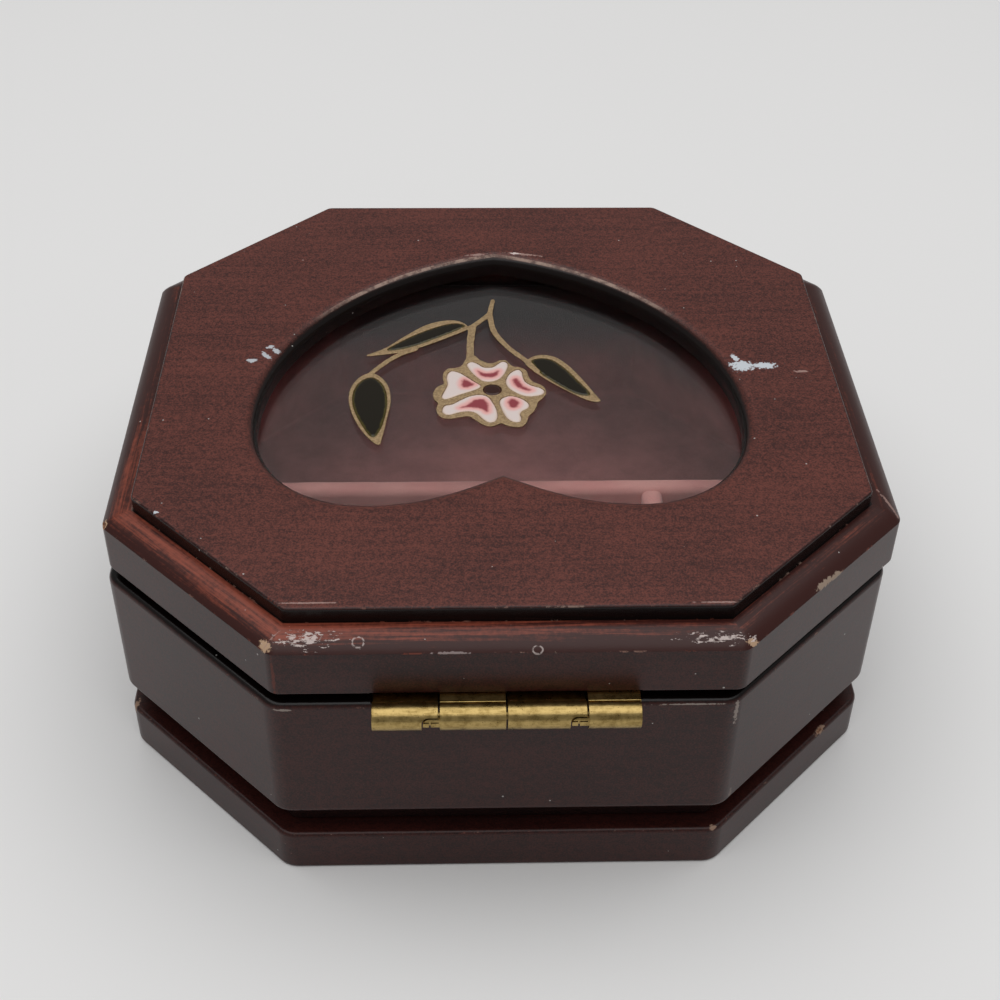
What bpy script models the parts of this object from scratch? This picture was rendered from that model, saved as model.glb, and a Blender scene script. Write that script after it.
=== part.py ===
# An eight-sided wooden jewelry box with a hinged lid. The lid has a heart-shaped
# window over a pane of glass, and the base holds a velvet lining with two dividers.
# Metres, +Z up. The box stands on z = 0, its hinge is on the +Y side.
import math

import bmesh
import bpy

# Outline of the box, seen from above
BOX_WIDTH = 0.1524              # across two opposite sides
CORNER_CUT = 0.0344             # taken off each end of a side by the diagonals
BASE_CORNER_RADIUS = 0.005
LID_CORNER_RADIUS = 0.003
CAVITY_CORNER_RADIUS = 0.002
CORNER_STEPS = 4                # facets round each upright corner

# Heights, from the table up
PLINTH_HEIGHT = 0.0103
GROOVE_HEIGHT = 0.0060
WALL_HEIGHT = 0.0309            # from the groove to the rim of the base
LID_GAP = 0.0011                # between the rim and the closed lid
LID_BAND_HEIGHT = 0.0107
MOULDING_RISE = 0.0023
PANEL_STEP = 0.0032

# Wood sections
WALL_THICKNESS = 0.0095
LID_WALL_THICKNESS = 0.0095
GROOVE_DEPTH = 0.0040
MOULDING_WIDTH = 0.00575
MOULDING_BULGE = 0.0007         # of the moulding's curve over its chord
PANEL_THICKNESS = 0.0048        # of the wood round the heart

# Softened edges
RIM_RADIUS = 0.0020
INNER_RIM_RADIUS = 0.0006
WALL_FOOT_RADIUS = 0.0016
PLINTH_TOP_RADIUS = 0.0009
PLINTH_FOOT_RADIUS = 0.0007
LID_FOOT_RADIUS = 0.0010
PANEL_EDGE_RADIUS = 0.0005
EDGE_STEPS = 3                  # facets round each softened edge

# The lid sits a little to one side of the base on its worn hinge
LID_SHIFT = 0.0008

# Heart window: its point looks away from the hinge
HEART_WIDTH = 0.1018
HEART_LENGTH = 0.0916           # from the point to the end of the lobes
HEART_OFFSET = 0.0032           # of the heart's middle from the lid's, away from the hinge
HEART_ROUND_OVER = 0.0018
HEART_STEPS = 11                # points along each of its six curves
ROUND_OVER_STEPS = 4

# Glass pane, fixed under the panel
GLASS_THICKNESS = 0.0020

# Velvet lining and its dividers
LINING_THICKNESS = 0.0012
LINING_BELOW_RIM = 0.0032
DIVIDER_THICKNESS = 0.0044
DIVIDER_BELOW_RIM = 0.0052
DIVIDER_EDGE_RADIUS = 0.0014
LONG_DIVIDER_OFFSET = 0.0100    # from the middle of the box towards the hinge
SHORT_DIVIDER_OFFSET = 0.0332   # from the middle of the box towards -X

# Brass stop hinge
HINGE_LENGTH = 0.0480
FIRST_KNUCKLE = 0.0120
LID_KNUCKLE = 0.0120
BASE_KNUCKLE = 0.0143
BARREL_RADIUS = 0.0026
PIN_RADIUS = 0.0009
LEAF_THICKNESS = 0.0008
LEAF_WIDTH = 0.0076             # of the part let into the wood
STOP_WIDTH = 0.0027             # of the stop tongues, along the barrel
STOP_ANGLE = 40.0               # that a stop tongue fills round the barrel, degrees
STOP_TOP_ANGLE = 36.0           # upper end of the stop notch above the horizontal
OPENING_ANGLE = 95.0            # of the lid, where the tongues meet their stops
BARREL_SIDES = 24

# Clearances
GLUE_GAP = 0.0003               # between pieces that sit on one another
RUNNING_GAP = 0.00025           # between the hinge's moving faces
HINGE_WOOD_GAP = 0.0003         # between the barrel and the back of the box

# Levels and places that follow
GROOVE_FLOOR_Z = PLINTH_HEIGHT
GROOVE_TOP_Z = GROOVE_FLOOR_Z + GROOVE_HEIGHT
RIM_Z = GROOVE_TOP_Z + WALL_HEIGHT
LID_Z = RIM_Z + LID_GAP
ARRIS_Z = LID_Z + LID_BAND_HEIGHT
MOULDING_TOP_Z = ARRIS_Z + MOULDING_RISE
TOP_Z = MOULDING_TOP_Z + PANEL_STEP
PANEL_UNDERSIDE_Z = TOP_Z - PANEL_THICKNESS
BARREL_REACH = HINGE_WOOD_GAP + 2 * BARREL_RADIUS
BOX_CENTRE_Y = -BARREL_REACH / 2
BACK_Y = BOX_CENTRE_Y + BOX_WIDTH / 2
AXIS_Y = BACK_Y + HINGE_WOOD_GAP + BARREL_RADIUS
AXIS_Z = LID_Z + LEAF_THICKNESS - BARREL_RADIUS
BORE_RADIUS = PIN_RADIUS + RUNNING_GAP
LINING_TOP_Z = RIM_Z - LINING_BELOW_RIM
LINING_FLOOR_Z = PLINTH_HEIGHT + LINING_THICKNESS
BASE_X = LID_SHIFT / 2
LID_X = -LID_SHIFT / 2


# Small helpers

def clear_scene():
    for item in list(bpy.data.objects):
        bpy.data.objects.remove(item, do_unlink=True)


def make_material(name, colour, roughness, metallic=0.0, transmission=0.0):
    material = bpy.data.materials.new(name)
    material.use_nodes = True
    shader = material.node_tree.nodes["Principled BSDF"]
    shader.inputs["Base Color"].default_value = (*colour, 1.0)
    shader.inputs["Roughness"].default_value = roughness
    shader.inputs["Metallic"].default_value = metallic
    shader.inputs["Transmission Weight"].default_value = transmission
    material.diffuse_color = (*colour, 1.0)
    return material


def make_object(name, bm, material, smooth_angle=30.0):
    bmesh.ops.recalc_face_normals(bm, faces=bm.faces)
    mesh = bpy.data.meshes.new(name)
    bm.to_mesh(mesh)
    bm.free()
    mesh.materials.append(material)
    mesh.shade_smooth()
    mesh.set_sharp_from_angle(angle=math.radians(smooth_angle))
    item = bpy.data.objects.new(name, mesh)
    bpy.context.collection.objects.link(item)
    return item


def add_boolean(target, cutter, operation="DIFFERENCE"):
    modifier = target.modifiers.new(cutter.name, "BOOLEAN")
    modifier.operation = operation
    modifier.solver = "EXACT"
    modifier.object = cutter
    cutter.hide_render = True
    cutter.display_type = "WIRE"


def add_loop(bm, points, z):
    return [bm.verts.new((x, y, z)) for x, y in points]


def skin_loops(bm, loops, close=False):
    pairs = list(zip(loops, loops[1:]))
    if close:
        pairs.append((loops[-1], loops[0]))
    for lower, upper in pairs:
        count = len(lower)
        for i in range(count):
            j = (i + 1) % count
            bm.faces.new((lower[i], lower[j], upper[j], upper[i]))
    if not close:
        bm.faces.new(reversed(loops[0]))
        bm.faces.new(loops[-1])


def add_block(bm, low, high):
    corners = [(x, y) for x, y in ((low[0], low[1]), (high[0], low[1]), (high[0], high[1]), (low[0], high[1]))]
    skin_loops(bm, [add_loop(bm, corners, low[2]), add_loop(bm, corners, high[2])])


def hang_on(axis, item, place):
    # place is in the box's own axes, and the item then turns with the hinge's axis
    item.parent = axis
    item.location = (place[0] - axis.location.x, place[1] - axis.location.y, place[2] - axis.location.z)


# Outlines and profiles

def octagon(outset, radius):
    # outset moves every side out from the box's own outline, a negative one moves it in
    side = BOX_WIDTH / 2 + outset
    diagonal = (BOX_WIDTH - CORNER_CUT) / math.sqrt(2) + outset
    points = []
    for k in range(8):
        first = (diagonal if k % 2 else side) - radius
        second = (side if k % 2 else diagonal) - radius
        angle = k * math.pi / 4
        turn = math.pi / 4
        along = (second - first * math.cos(turn)) / math.sin(turn)
        centre_x = first * math.cos(angle) - along * math.sin(angle)
        centre_y = first * math.sin(angle) + along * math.cos(angle)
        for step in range(CORNER_STEPS + 1):
            a = angle + turn * step / CORNER_STEPS
            points.append((centre_x + radius * math.cos(a), centre_y + radius * math.sin(a)))
    return points


def octagon_reach(outset, sideways):
    # how far the octagon reaches from its middle along X or Y, at a distance to the side of it
    side = BOX_WIDTH / 2 + outset
    diagonal = (BOX_WIDTH - CORNER_CUT) / math.sqrt(2) + outset
    return min(side, diagonal * math.sqrt(2) - sideways)


def edge_arc(out, z, radius, start, end, steps=EDGE_STEPS):
    # points of a softened edge in the profile plane; angles in degrees, 0 faces outwards
    angles = [math.radians(start + (end - start) * i / steps) for i in range(steps + 1)]
    return [(out + radius * math.cos(a), z + radius * math.sin(a)) for a in angles]


def moulding_curve(steps=5):
    # a shallow swelling curve from the lid's arris in to the foot of the panel's step
    chord = math.hypot(MOULDING_WIDTH, MOULDING_RISE)
    radius = (chord * chord / 4 + MOULDING_BULGE ** 2) / (2 * MOULDING_BULGE)
    half_angle = math.asin(chord / 2 / radius)
    lean = math.atan2(MOULDING_RISE, MOULDING_WIDTH)
    points = []
    for i in range(steps + 1):
        a = half_angle * (2 * i / steps - 1)
        along = chord / 2 + radius * math.sin(a)
        over = radius * (math.cos(a) - math.cos(half_angle))
        inward = along * math.cos(lean) - over * math.sin(lean)
        rise = along * math.sin(lean) + over * math.cos(lean)
        points.append((-inward, ARRIS_Z + rise))
    return points


def skin_octagons(bm, profile, radius, ring=False):
    # profile holds (outset, height) pairs: a ring closes on itself, else both ends are capped
    loops = [add_loop(bm, octagon(out, max(radius + out, CAVITY_CORNER_RADIUS)), z) for out, z in profile]
    skin_loops(bm, loops, ring)


def bezier(p0, p1, p2, p3, steps):
    points = []
    for i in range(steps):
        t = i / steps
        s = 1 - t
        weights = (s ** 3, 3 * s * s * t, 3 * s * t * t, t ** 3)
        points.append(tuple(sum(w * p[axis] for w, p in zip(weights, (p0, p1, p2, p3))) for axis in (0, 1)))
    return points


def heart_outline():
    # one side from the point to the cleft in three curves, then its mirror image;
    # x and y are shares of the half width and the length, the point is at y = 0
    side = [
        ((0.0, 0.0), (0.51, 0.066), (1.0, 0.33), (1.0, 0.677)),
        ((1.0, 0.677), (1.0, 0.875), (0.79, 1.0), (0.511, 1.0)),
        ((0.511, 1.0), (0.275, 1.0), (0.118, 0.942), (0.0, 0.906)),
    ]
    half = HEART_WIDTH / 2
    start_y = -HEART_LENGTH / 2 - HEART_OFFSET

    def place(point, mirror):
        return (mirror * half * point[0], start_y + HEART_LENGTH * point[1])

    points = []
    for curve in side:
        points += bezier(*[place(p, 1) for p in curve], HEART_STEPS)
    for curve in reversed(side):
        points += bezier(*[place(p, -1) for p in reversed(curve)], HEART_STEPS)
    return points


def inset_loop(points, distance):
    # moves an anticlockwise outline inwards by distance, with mitred corners
    moved = []
    count = len(points)
    for i in range(count):
        (ax, ay), (bx, by), (cx, cy) = points[i - 1], points[i], points[(i + 1) % count]
        first = math.atan2(by - ay, bx - ax)
        second = math.atan2(cy - by, cx - bx)
        half_turn = math.remainder(second - first, 2 * math.pi) / 2
        inward = first + half_turn + math.pi / 2
        reach = distance / math.cos(half_turn)
        moved.append((bx + reach * math.cos(inward), by + reach * math.sin(inward)))
    return moved


def heart_levels():
    # how far in and how high each outline of the window's cutter lies, from the bottom up
    levels = [(HEART_ROUND_OVER, PANEL_UNDERSIDE_Z - HEART_ROUND_OVER)]
    for i in range(ROUND_OVER_STEPS + 1):
        a = math.pi / 2 * i / ROUND_OVER_STEPS
        levels.append((HEART_ROUND_OVER * math.cos(a), TOP_Z - HEART_ROUND_OVER * (1 - math.sin(a))))
    levels.append((0.0, TOP_Z + HEART_ROUND_OVER))
    return levels


# Wooden pieces

def make_plinth(wood):
    top = PLINTH_HEIGHT - GLUE_GAP
    profile = edge_arc(-PLINTH_FOOT_RADIUS, PLINTH_FOOT_RADIUS, PLINTH_FOOT_RADIUS, -90, 0)
    profile += edge_arc(-PLINTH_TOP_RADIUS, top - PLINTH_TOP_RADIUS, PLINTH_TOP_RADIUS, 0, 90)
    bm = bmesh.new()
    skin_octagons(bm, profile, BASE_CORNER_RADIUS)
    plinth = make_object("plinth", bm, wood)
    plinth.location = (BASE_X, BOX_CENTRE_Y, 0)


def make_box_walls(wood):
    profile = [(-WALL_THICKNESS, GROOVE_FLOOR_Z), (-GROOVE_DEPTH, GROOVE_FLOOR_Z), (-GROOVE_DEPTH, GROOVE_TOP_Z)]
    profile += edge_arc(-WALL_FOOT_RADIUS, GROOVE_TOP_Z + WALL_FOOT_RADIUS, WALL_FOOT_RADIUS, -90, 0)
    profile += edge_arc(-RIM_RADIUS, RIM_Z - RIM_RADIUS, RIM_RADIUS, 0, 90)
    profile += edge_arc(INNER_RIM_RADIUS - WALL_THICKNESS, RIM_Z - INNER_RIM_RADIUS, INNER_RIM_RADIUS, 90, 180)
    bm = bmesh.new()
    skin_octagons(bm, profile, BASE_CORNER_RADIUS, ring=True)
    walls = make_object("box_walls", bm, wood)
    walls.location = (BASE_X, BOX_CENTRE_Y, 0)
    cut_mortise(walls, RIM_Z - LEAF_THICKNESS - GLUE_GAP, RIM_Z + LID_GAP)


def make_lid_frame(wood, axis):
    profile = [(-LID_WALL_THICKNESS, PANEL_UNDERSIDE_Z), (-LID_WALL_THICKNESS, LID_Z)]
    profile += edge_arc(-LID_FOOT_RADIUS, LID_Z + LID_FOOT_RADIUS, LID_FOOT_RADIUS, -90, 0)
    profile += moulding_curve()
    profile += edge_arc(-MOULDING_WIDTH - PANEL_EDGE_RADIUS, TOP_Z - PANEL_EDGE_RADIUS, PANEL_EDGE_RADIUS, 0, 90)
    bm = bmesh.new()
    skin_octagons(bm, profile, LID_CORNER_RADIUS)
    frame = make_object("lid_frame", bm, wood)
    hang_on(axis, frame, (LID_X, BOX_CENTRE_Y, 0))

    outline = heart_outline()
    bm = bmesh.new()
    skin_loops(bm, [add_loop(bm, inset_loop(outline, inset), z) for inset, z in heart_levels()])
    window = make_object("window_cutter", bm, wood)
    hang_on(axis, window, (LID_X, BOX_CENTRE_Y, 0))
    add_boolean(frame, window)
    cut_mortise(frame, LID_Z - LID_GAP, LID_Z + LEAF_THICKNESS + GLUE_GAP)


def cut_mortise(wooden, bottom, top):
    # the shallow bed of a hinge leaf, open at the back of the box
    side = HINGE_LENGTH / 2 + GLUE_GAP
    bm = bmesh.new()
    add_block(bm, (-side, BACK_Y - LEAF_WIDTH - GLUE_GAP, bottom), (side, AXIS_Y, top))
    add_boolean(wooden, make_object(wooden.name + "_mortise", bm, wooden.data.materials[0]))


# Glass and velvet

def make_window_glass(glass, axis):
    top = PANEL_UNDERSIDE_Z - GLUE_GAP
    inset = -LID_WALL_THICKNESS - GLUE_GAP
    bm = bmesh.new()
    skin_octagons(bm, [(inset, top - GLASS_THICKNESS), (inset, top)], LID_CORNER_RADIUS)
    pane = make_object("window_glass", bm, glass)
    hang_on(axis, pane, (LID_X, BOX_CENTRE_Y, 0))


def make_velvet_lining(velvet):
    outside = -WALL_THICKNESS - GLUE_GAP
    inside = outside - LINING_THICKNESS
    rounding = LINING_THICKNESS / 2
    profile = [(outside, PLINTH_HEIGHT)]
    profile += edge_arc(outside - rounding, LINING_TOP_Z - rounding, rounding, 0, 180, 4)
    profile += [(inside, LINING_FLOOR_Z)]
    bm = bmesh.new()
    skin_octagons(bm, profile, BASE_CORNER_RADIUS)
    lining = make_object("velvet_lining", bm, velvet)
    lining.location = (BASE_X, BOX_CENTRE_Y, 0)


def divider_section():
    # half width and height of a divider's outline, with its top edges rounded
    half = DIVIDER_THICKNESS / 2
    low = LINING_FLOOR_Z + GLUE_GAP
    top = RIM_Z - DIVIDER_BELOW_RIM
    radius = DIVIDER_EDGE_RADIUS
    right = edge_arc(half - radius, top - radius, radius, 0, 90)
    left = edge_arc(radius - half, top - radius, radius, 90, 180)
    return [(-half, low), (half, low)] + right + left


def make_dividers(velvet):
    inside = -(WALL_THICKNESS + LINING_THICKNESS + 2 * GLUE_GAP)
    half = DIVIDER_THICKNESS / 2
    section = divider_section()
    reach = octagon_reach(inside, LONG_DIVIDER_OFFSET + half)
    bm = bmesh.new()
    skin_loops(bm, [[bm.verts.new((x, y, z)) for y, z in section] for x in (-reach, reach)])
    long_divider = make_object("long_divider", bm, velvet)
    long_divider.location = (BASE_X, BOX_CENTRE_Y + LONG_DIVIDER_OFFSET, 0)

    near = LONG_DIVIDER_OFFSET + half + GLUE_GAP
    far = octagon_reach(inside, SHORT_DIVIDER_OFFSET + half)
    bm = bmesh.new()
    skin_loops(bm, [[bm.verts.new((x, y, z)) for x, z in section] for y in (near, far)])
    short_divider = make_object("short_divider", bm, velvet)
    short_divider.location = (BASE_X - SHORT_DIVIDER_OFFSET, BOX_CENTRE_Y, 0)


# Hinge, modelled about its own axis and then set in place

def knuckle_spans():
    # from the +X end: (low x, high x, True on the lid leaf), the base leaf's knuckle first
    far_end = -HINGE_LENGTH / 2
    spans = []
    high = HINGE_LENGTH / 2
    length = FIRST_KNUCKLE
    on_lid = False
    while high > far_end:
        low = max(high - length, far_end)
        if low - far_end < 2 * STOP_WIDTH:
            low = far_end
        spans.append((low + RUNNING_GAP / 2, high - RUNNING_GAP / 2, on_lid))
        high = low
        on_lid = not on_lid
        length = LID_KNUCKLE if on_lid else BASE_KNUCKLE
    return spans


def extrude_along_x(bm, section, low, high):
    skin_loops(bm, [[bm.verts.new((x, y, z)) for y, z in section] for x in (low, high)])


def barrel_arc(radius, start, end):
    # points round the hinge's axis from one angle to another, in degrees from +Y towards +Z
    steps = max(1, round(abs(end - start) / 360 * BARREL_SIDES))
    angles = [math.radians(start + (end - start) * i / steps) for i in range(steps + 1)]
    return [(radius * math.cos(a), radius * math.sin(a)) for a in angles]


def knuckle_section(low, high, root):
    # a barrel with the leaf leaving it towards -Y between the heights low and high
    start = 180 - math.degrees(math.asin(low / BARREL_RADIUS))
    end = 540 - math.degrees(math.asin(high / BARREL_RADIUS))
    return [(root, high), (root, low)] + barrel_arc(BARREL_RADIUS, start, end)


def make_leaf(name, brass, low, on_lid):
    high = low + LEAF_THICKNESS
    clear_y = -BARREL_RADIUS - RUNNING_GAP
    back_y = BACK_Y - LEAF_WIDTH - AXIS_Y
    half = HINGE_LENGTH / 2
    bm = bmesh.new()
    add_block(bm, (-half, back_y, low), (half, clear_y, high))
    leaf = make_object(name, bm, brass)
    spans = knuckle_spans()
    own = [span for span in spans if span[2] == on_lid]
    for i, (start, end, _) in enumerate(own):
        bm = bmesh.new()
        extrude_along_x(bm, knuckle_section(low, high, clear_y - LEAF_THICKNESS), start, end)
        knuckle = make_object(f"{name}_knuckle_{i}", bm, brass)
        add_boolean(leaf, knuckle, "UNION")
        knuckle.parent = leaf
    bm = bmesh.new()
    extrude_along_x(bm, barrel_arc(BORE_RADIUS, 0, 360)[:-1], -HINGE_LENGTH, HINGE_LENGTH)
    bore = make_object(name + "_bore", bm, brass)
    add_boolean(leaf, bore)
    bore.parent = leaf
    return leaf, own


def stop_sector(name, brass, low_x, high_x, inner, outer, top_angle, bottom_angle):
    section = barrel_arc(outer, bottom_angle, top_angle) + barrel_arc(inner, top_angle, bottom_angle)
    bm = bmesh.new()
    extrude_along_x(bm, section, low_x, high_x)
    return make_object(name, bm, brass)


def make_hinge(brass, axis):
    base_low = RIM_Z - LEAF_THICKNESS - AXIS_Z
    base_leaf, base_knuckles = make_leaf("hinge_base_leaf", brass, base_low, False)
    base_leaf.location = (0, AXIS_Y, AXIS_Z)
    lid_low = BARREL_RADIUS - LEAF_THICKNESS
    lid_leaf, lid_knuckles = make_leaf("hinge_lid_leaf", brass, lid_low, True)
    lid_leaf.parent = axis

    # each lid knuckle has a tongue that swings in a notch of the base knuckle beside it
    slack = math.degrees(RUNNING_GAP / BARREL_RADIUS)
    notch_bottom = STOP_TOP_ANGLE - STOP_ANGLE - OPENING_ANGLE - 2 * slack
    tongue_top = STOP_TOP_ANGLE - slack
    for i, (base_span, lid_span) in enumerate(zip(base_knuckles, lid_knuckles)):
        edge = base_span[0]
        notch = stop_sector(f"stop_notch_{i}", brass, edge - STOP_WIDTH, edge + STOP_WIDTH + RUNNING_GAP,
                            PIN_RADIUS / 2, 2 * BARREL_RADIUS, STOP_TOP_ANGLE, notch_bottom)
        add_boolean(base_leaf, notch)
        notch.parent = base_leaf
        root = lid_span[1] - STOP_WIDTH / 2
        tongue = stop_sector(f"stop_tongue_{i}", brass, root, edge + STOP_WIDTH,
                             BORE_RADIUS + RUNNING_GAP / 2, BARREL_RADIUS - RUNNING_GAP / 2,
                             tongue_top, tongue_top - STOP_ANGLE)
        add_boolean(lid_leaf, tongue, "UNION")
        tongue.parent = lid_leaf

    bm = bmesh.new()
    end = HINGE_LENGTH / 2 - RUNNING_GAP
    extrude_along_x(bm, barrel_arc(PIN_RADIUS, 0, 360)[:-1], -end, end)
    pin = make_object("hinge_pin", bm, brass)
    pin.location = (0, AXIS_Y, AXIS_Z)


def main():
    clear_scene()
    wood = make_material("mahogany_lacquer", (0.062, 0.018, 0.016), 0.32)
    glass = make_material("clear_glass", (0.95, 0.96, 0.96), 0.02, transmission=1.0)
    velvet = make_material("mauve_velvet", (0.22, 0.09, 0.10), 0.9)
    brass = make_material("worn_brass", (0.62, 0.43, 0.15), 0.3, metallic=1.0)

    # the lid's pieces turn with this empty, which lies on the hinge's axis
    axis = bpy.data.objects.new("lid_axis", None)
    axis.location = (0, AXIS_Y, AXIS_Z)
    bpy.context.collection.objects.link(axis)

    make_plinth(wood)
    make_box_walls(wood)
    make_velvet_lining(velvet)
    make_dividers(velvet)
    make_lid_frame(wood, axis)
    make_window_glass(glass, axis)
    make_hinge(brass, axis)


main()
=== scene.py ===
# Looks of an eight-sided lacquered jewelry box with a painted heart window in its lid.
# Lengths in the dictionaries are millimetres unless a note says otherwise; X runs along the hinge.
import math
from functools import partialmethod

import bmesh
import bpy
from mathutils import Matrix, Vector, geometry, noise


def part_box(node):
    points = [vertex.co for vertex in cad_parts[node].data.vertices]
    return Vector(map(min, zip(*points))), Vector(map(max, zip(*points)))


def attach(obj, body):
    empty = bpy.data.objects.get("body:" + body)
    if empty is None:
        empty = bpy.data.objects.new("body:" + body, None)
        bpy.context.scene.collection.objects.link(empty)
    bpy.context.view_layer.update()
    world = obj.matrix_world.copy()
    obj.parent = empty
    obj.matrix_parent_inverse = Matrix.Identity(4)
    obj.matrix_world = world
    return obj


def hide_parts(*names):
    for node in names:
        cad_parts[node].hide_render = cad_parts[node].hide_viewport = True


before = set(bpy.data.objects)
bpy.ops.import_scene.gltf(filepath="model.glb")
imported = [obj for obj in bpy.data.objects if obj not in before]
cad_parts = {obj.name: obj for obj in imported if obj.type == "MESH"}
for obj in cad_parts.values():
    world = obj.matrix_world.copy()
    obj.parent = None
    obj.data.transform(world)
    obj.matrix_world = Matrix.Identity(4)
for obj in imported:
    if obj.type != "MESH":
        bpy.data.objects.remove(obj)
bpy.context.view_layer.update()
mm = 0.001
print("frame loaded with", len(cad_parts), "nodes")


# Places read from the frame

def boxOf(node):
    low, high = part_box(node)
    return low / mm, high / mm


wallsLow, wallsHigh = boxOf("box_walls")
lidLow, lidHigh = boxOf("lid_frame")
liningLow, liningHigh = boxOf("velvet_lining")
pinLow, pinHigh = boxOf("hinge_pin")
plinthTop = boxOf("plinth")[1].z
paneTop = boxOf("window_glass")[1].z
boxWidth = wallsHigh.x - wallsLow.x
baseMiddle = (wallsLow + wallsHigh) / 2
lidMiddle = Vector(((lidLow.x + lidHigh.x) / 2, baseMiddle.y, 0))
backY = wallsHigh.y
axisPoint = (pinLow + pinHigh) / 2


# Node helpers

class Field:
    # a node's output; sums, products and comparisons with it become Math nodes

    def __init__(self, socket):
        self.socket = socket
        self.tree = socket.id_data

    def add(self, kind, inputs, output=0, **settings):
        return Field(addNode(self.tree, kind, inputs, **settings).outputs[output])

    def calc(self, operation, other=0.0):
        return self.add("ShaderNodeMath", {0: self, 1: other}, operation=operation)

    __add__ = partialmethod(calc, "ADD")
    __sub__ = partialmethod(calc, "SUBTRACT")
    __mul__ = partialmethod(calc, "MULTIPLY")
    __gt__ = partialmethod(calc, "GREATER_THAN")
    __lt__ = partialmethod(calc, "LESS_THAN")
    __abs__ = partialmethod(calc, "ABSOLUTE")

    def __rsub__(self, other):
        return self.add("ShaderNodeMath", {0: other, 1: self}, operation="SUBTRACT")

    def ease(self, low, high, toLow=0.0, toHigh=1.0):
        # a soft step: toLow below low, toHigh above high
        inputs = {"Value": self, "From Min": low, "From Max": high, "To Min": toLow, "To Max": toHigh}
        return self.add("ShaderNodeMapRange", inputs, interpolation_type="SMOOTHSTEP")

    def fade(self, low, high):
        return self.ease(low, high, 1.0, 0.0)

    def band(self, low, high, softLow, softHigh):
        return self.ease(low, low + softLow) * self.fade(high - softHigh, high)

    def mix(self, first, second):
        # the first colour where the field is 0, the second where it is 1
        first, second = [c if isinstance(c, Field) else (*c, 1.0) for c in (first, second)]
        return self.add("ShaderNodeMix", {0: self, 6: first, 7: second}, 2, data_type="RGBA")

    def toward(self, other, share):
        return self.add("ShaderNodeMix", {0: share, 2: self, 3: other}, data_type="FLOAT")

    def noise(self, scale, detail=3.0, rough=0.55):
        inputs = {"Vector": self, "Scale": scale, "Detail": detail, "Roughness": rough}
        return self.add("ShaderNodeTexNoise", inputs)

    def scaled(self, factors):
        return self.add("ShaderNodeVectorMath", {0: self, 1: factors}, operation="MULTIPLY")

    def parts(self):
        return [Field(output) for output in addNode(self.tree, "ShaderNodeSeparateXYZ", {0: self}).outputs]

    def specks(self, scale, rarity, largest):
        # a dot in some cells of a pattern, each of its own size
        cells = addNode(self.tree, "ShaderNodeTexVoronoi", {"Vector": self, "Scale": scale}).outputs
        chance = self.add("ShaderNodeSeparateColor", {0: Field(cells["Color"])})
        return Field(cells["Distance"]) < chance.ease(rarity, 1.0, 0.0, largest)


def addNode(tree, kind, inputs=None, **settings):
    node = tree.nodes.new(kind)
    for key, value in settings.items():
        setattr(node, key, value)
    for key, value in (inputs or {}).items():
        if isinstance(value, Field):
            tree.links.new(value.socket, node.inputs[key])
        else:
            node.inputs[key].default_value = value
    return node


def joined(x, y, z):
    return x.add("ShaderNodeCombineXYZ", {0: x, 1: y, 2: z})


def anyOf(masks):
    most = masks[0]
    for mask in masks[1:]:
        most = most.calc("MAXIMUM", mask)
    return most


def newMaterial(name, **plain):
    material = bpy.data.materials.new(name)
    material.use_nodes = True
    shader = material.node_tree.nodes["Principled BSDF"]
    for key, value in plain.items():
        shader.inputs[key.replace("_", " ")].default_value = value
    return material, shader


def pointMm(material, x=0.0, y=0.0):
    # the piece's own coordinates in millimetres, from the middle given
    coords = Field(addNode(material.node_tree, "ShaderNodeTexCoord").outputs["Object"])
    scaled = coords.add("ShaderNodeVectorMath", {0: coords, 3: 1 / mm}, operation="SCALE")
    return scaled.add("ShaderNodeVectorMath", {0: scaled, 1: (x, y, 0.0)}, operation="SUBTRACT")


def wire(shader, layers, **fields):
    # fields by the shader's socket; layers of relief are (height, depth in millimetres, strength)
    links = shader.id_data.links
    for name, field in fields.items():
        links.new(field.socket, shader.inputs[name.replace("_", " ")])
    normal = None
    for height, depth, strength in layers:
        inputs = {"Height": height, "Distance": depth * mm, "Strength": strength}
        if normal:
            inputs["Normal"] = normal
        normal = height.add("ShaderNodeBump", inputs)
    if normal:
        links.new(normal.socket, shader.inputs["Normal"])


# Mesh helpers

def finishMesh(name, bm, material, body=None, replaced=(), smoothAngle=35.0):
    # takes a mesh built in millimetres and puts it on its body
    bmesh.ops.recalc_face_normals(bm, faces=bm.faces)
    bmesh.ops.scale(bm, vec=(mm, mm, mm), verts=bm.verts)
    mesh = bpy.data.meshes.new(name)
    bm.to_mesh(mesh)
    bm.free()
    mesh.materials.append(material)
    mesh.shade_smooth()
    mesh.set_sharp_from_angle(angle=math.radians(smoothAngle))
    piece = bpy.data.objects.new(name, mesh)
    bpy.context.collection.objects.link(piece)
    if body:
        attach(piece, body)
    if replaced:
        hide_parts(*replaced)
    return piece


def addLoop(bm, points, z=None):
    return [bm.verts.new(p if z is None else (p[0], p[1], z)) for p in points]


def bridge(bm, lower, upper):
    count = len(lower)
    for i in range(count):
        j = (i + 1) % count
        bm.faces.new((lower[i], lower[j], upper[j], upper[i]))


def skin(bm, loops, close=False):
    for lower, upper in zip(loops, loops[1:]):
        bridge(bm, lower, upper)
    if close:
        bridge(bm, loops[-1], loops[0])


def loopEdges(bm, loop):
    edges = []
    for a, b in zip(loop, loop[1:] + loop[:1]):
        edges.append(bm.edges.get((a, b)) or bm.edges.new((a, b)))
    return edges


def fillFlat(bm, *loops):
    # a flat face inside the first loop, with the others left as holes
    edges = [edge for loop in loops for edge in loopEdges(bm, loop)]
    bmesh.ops.triangle_fill(bm, edges=edges, use_beauty=True)


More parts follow.
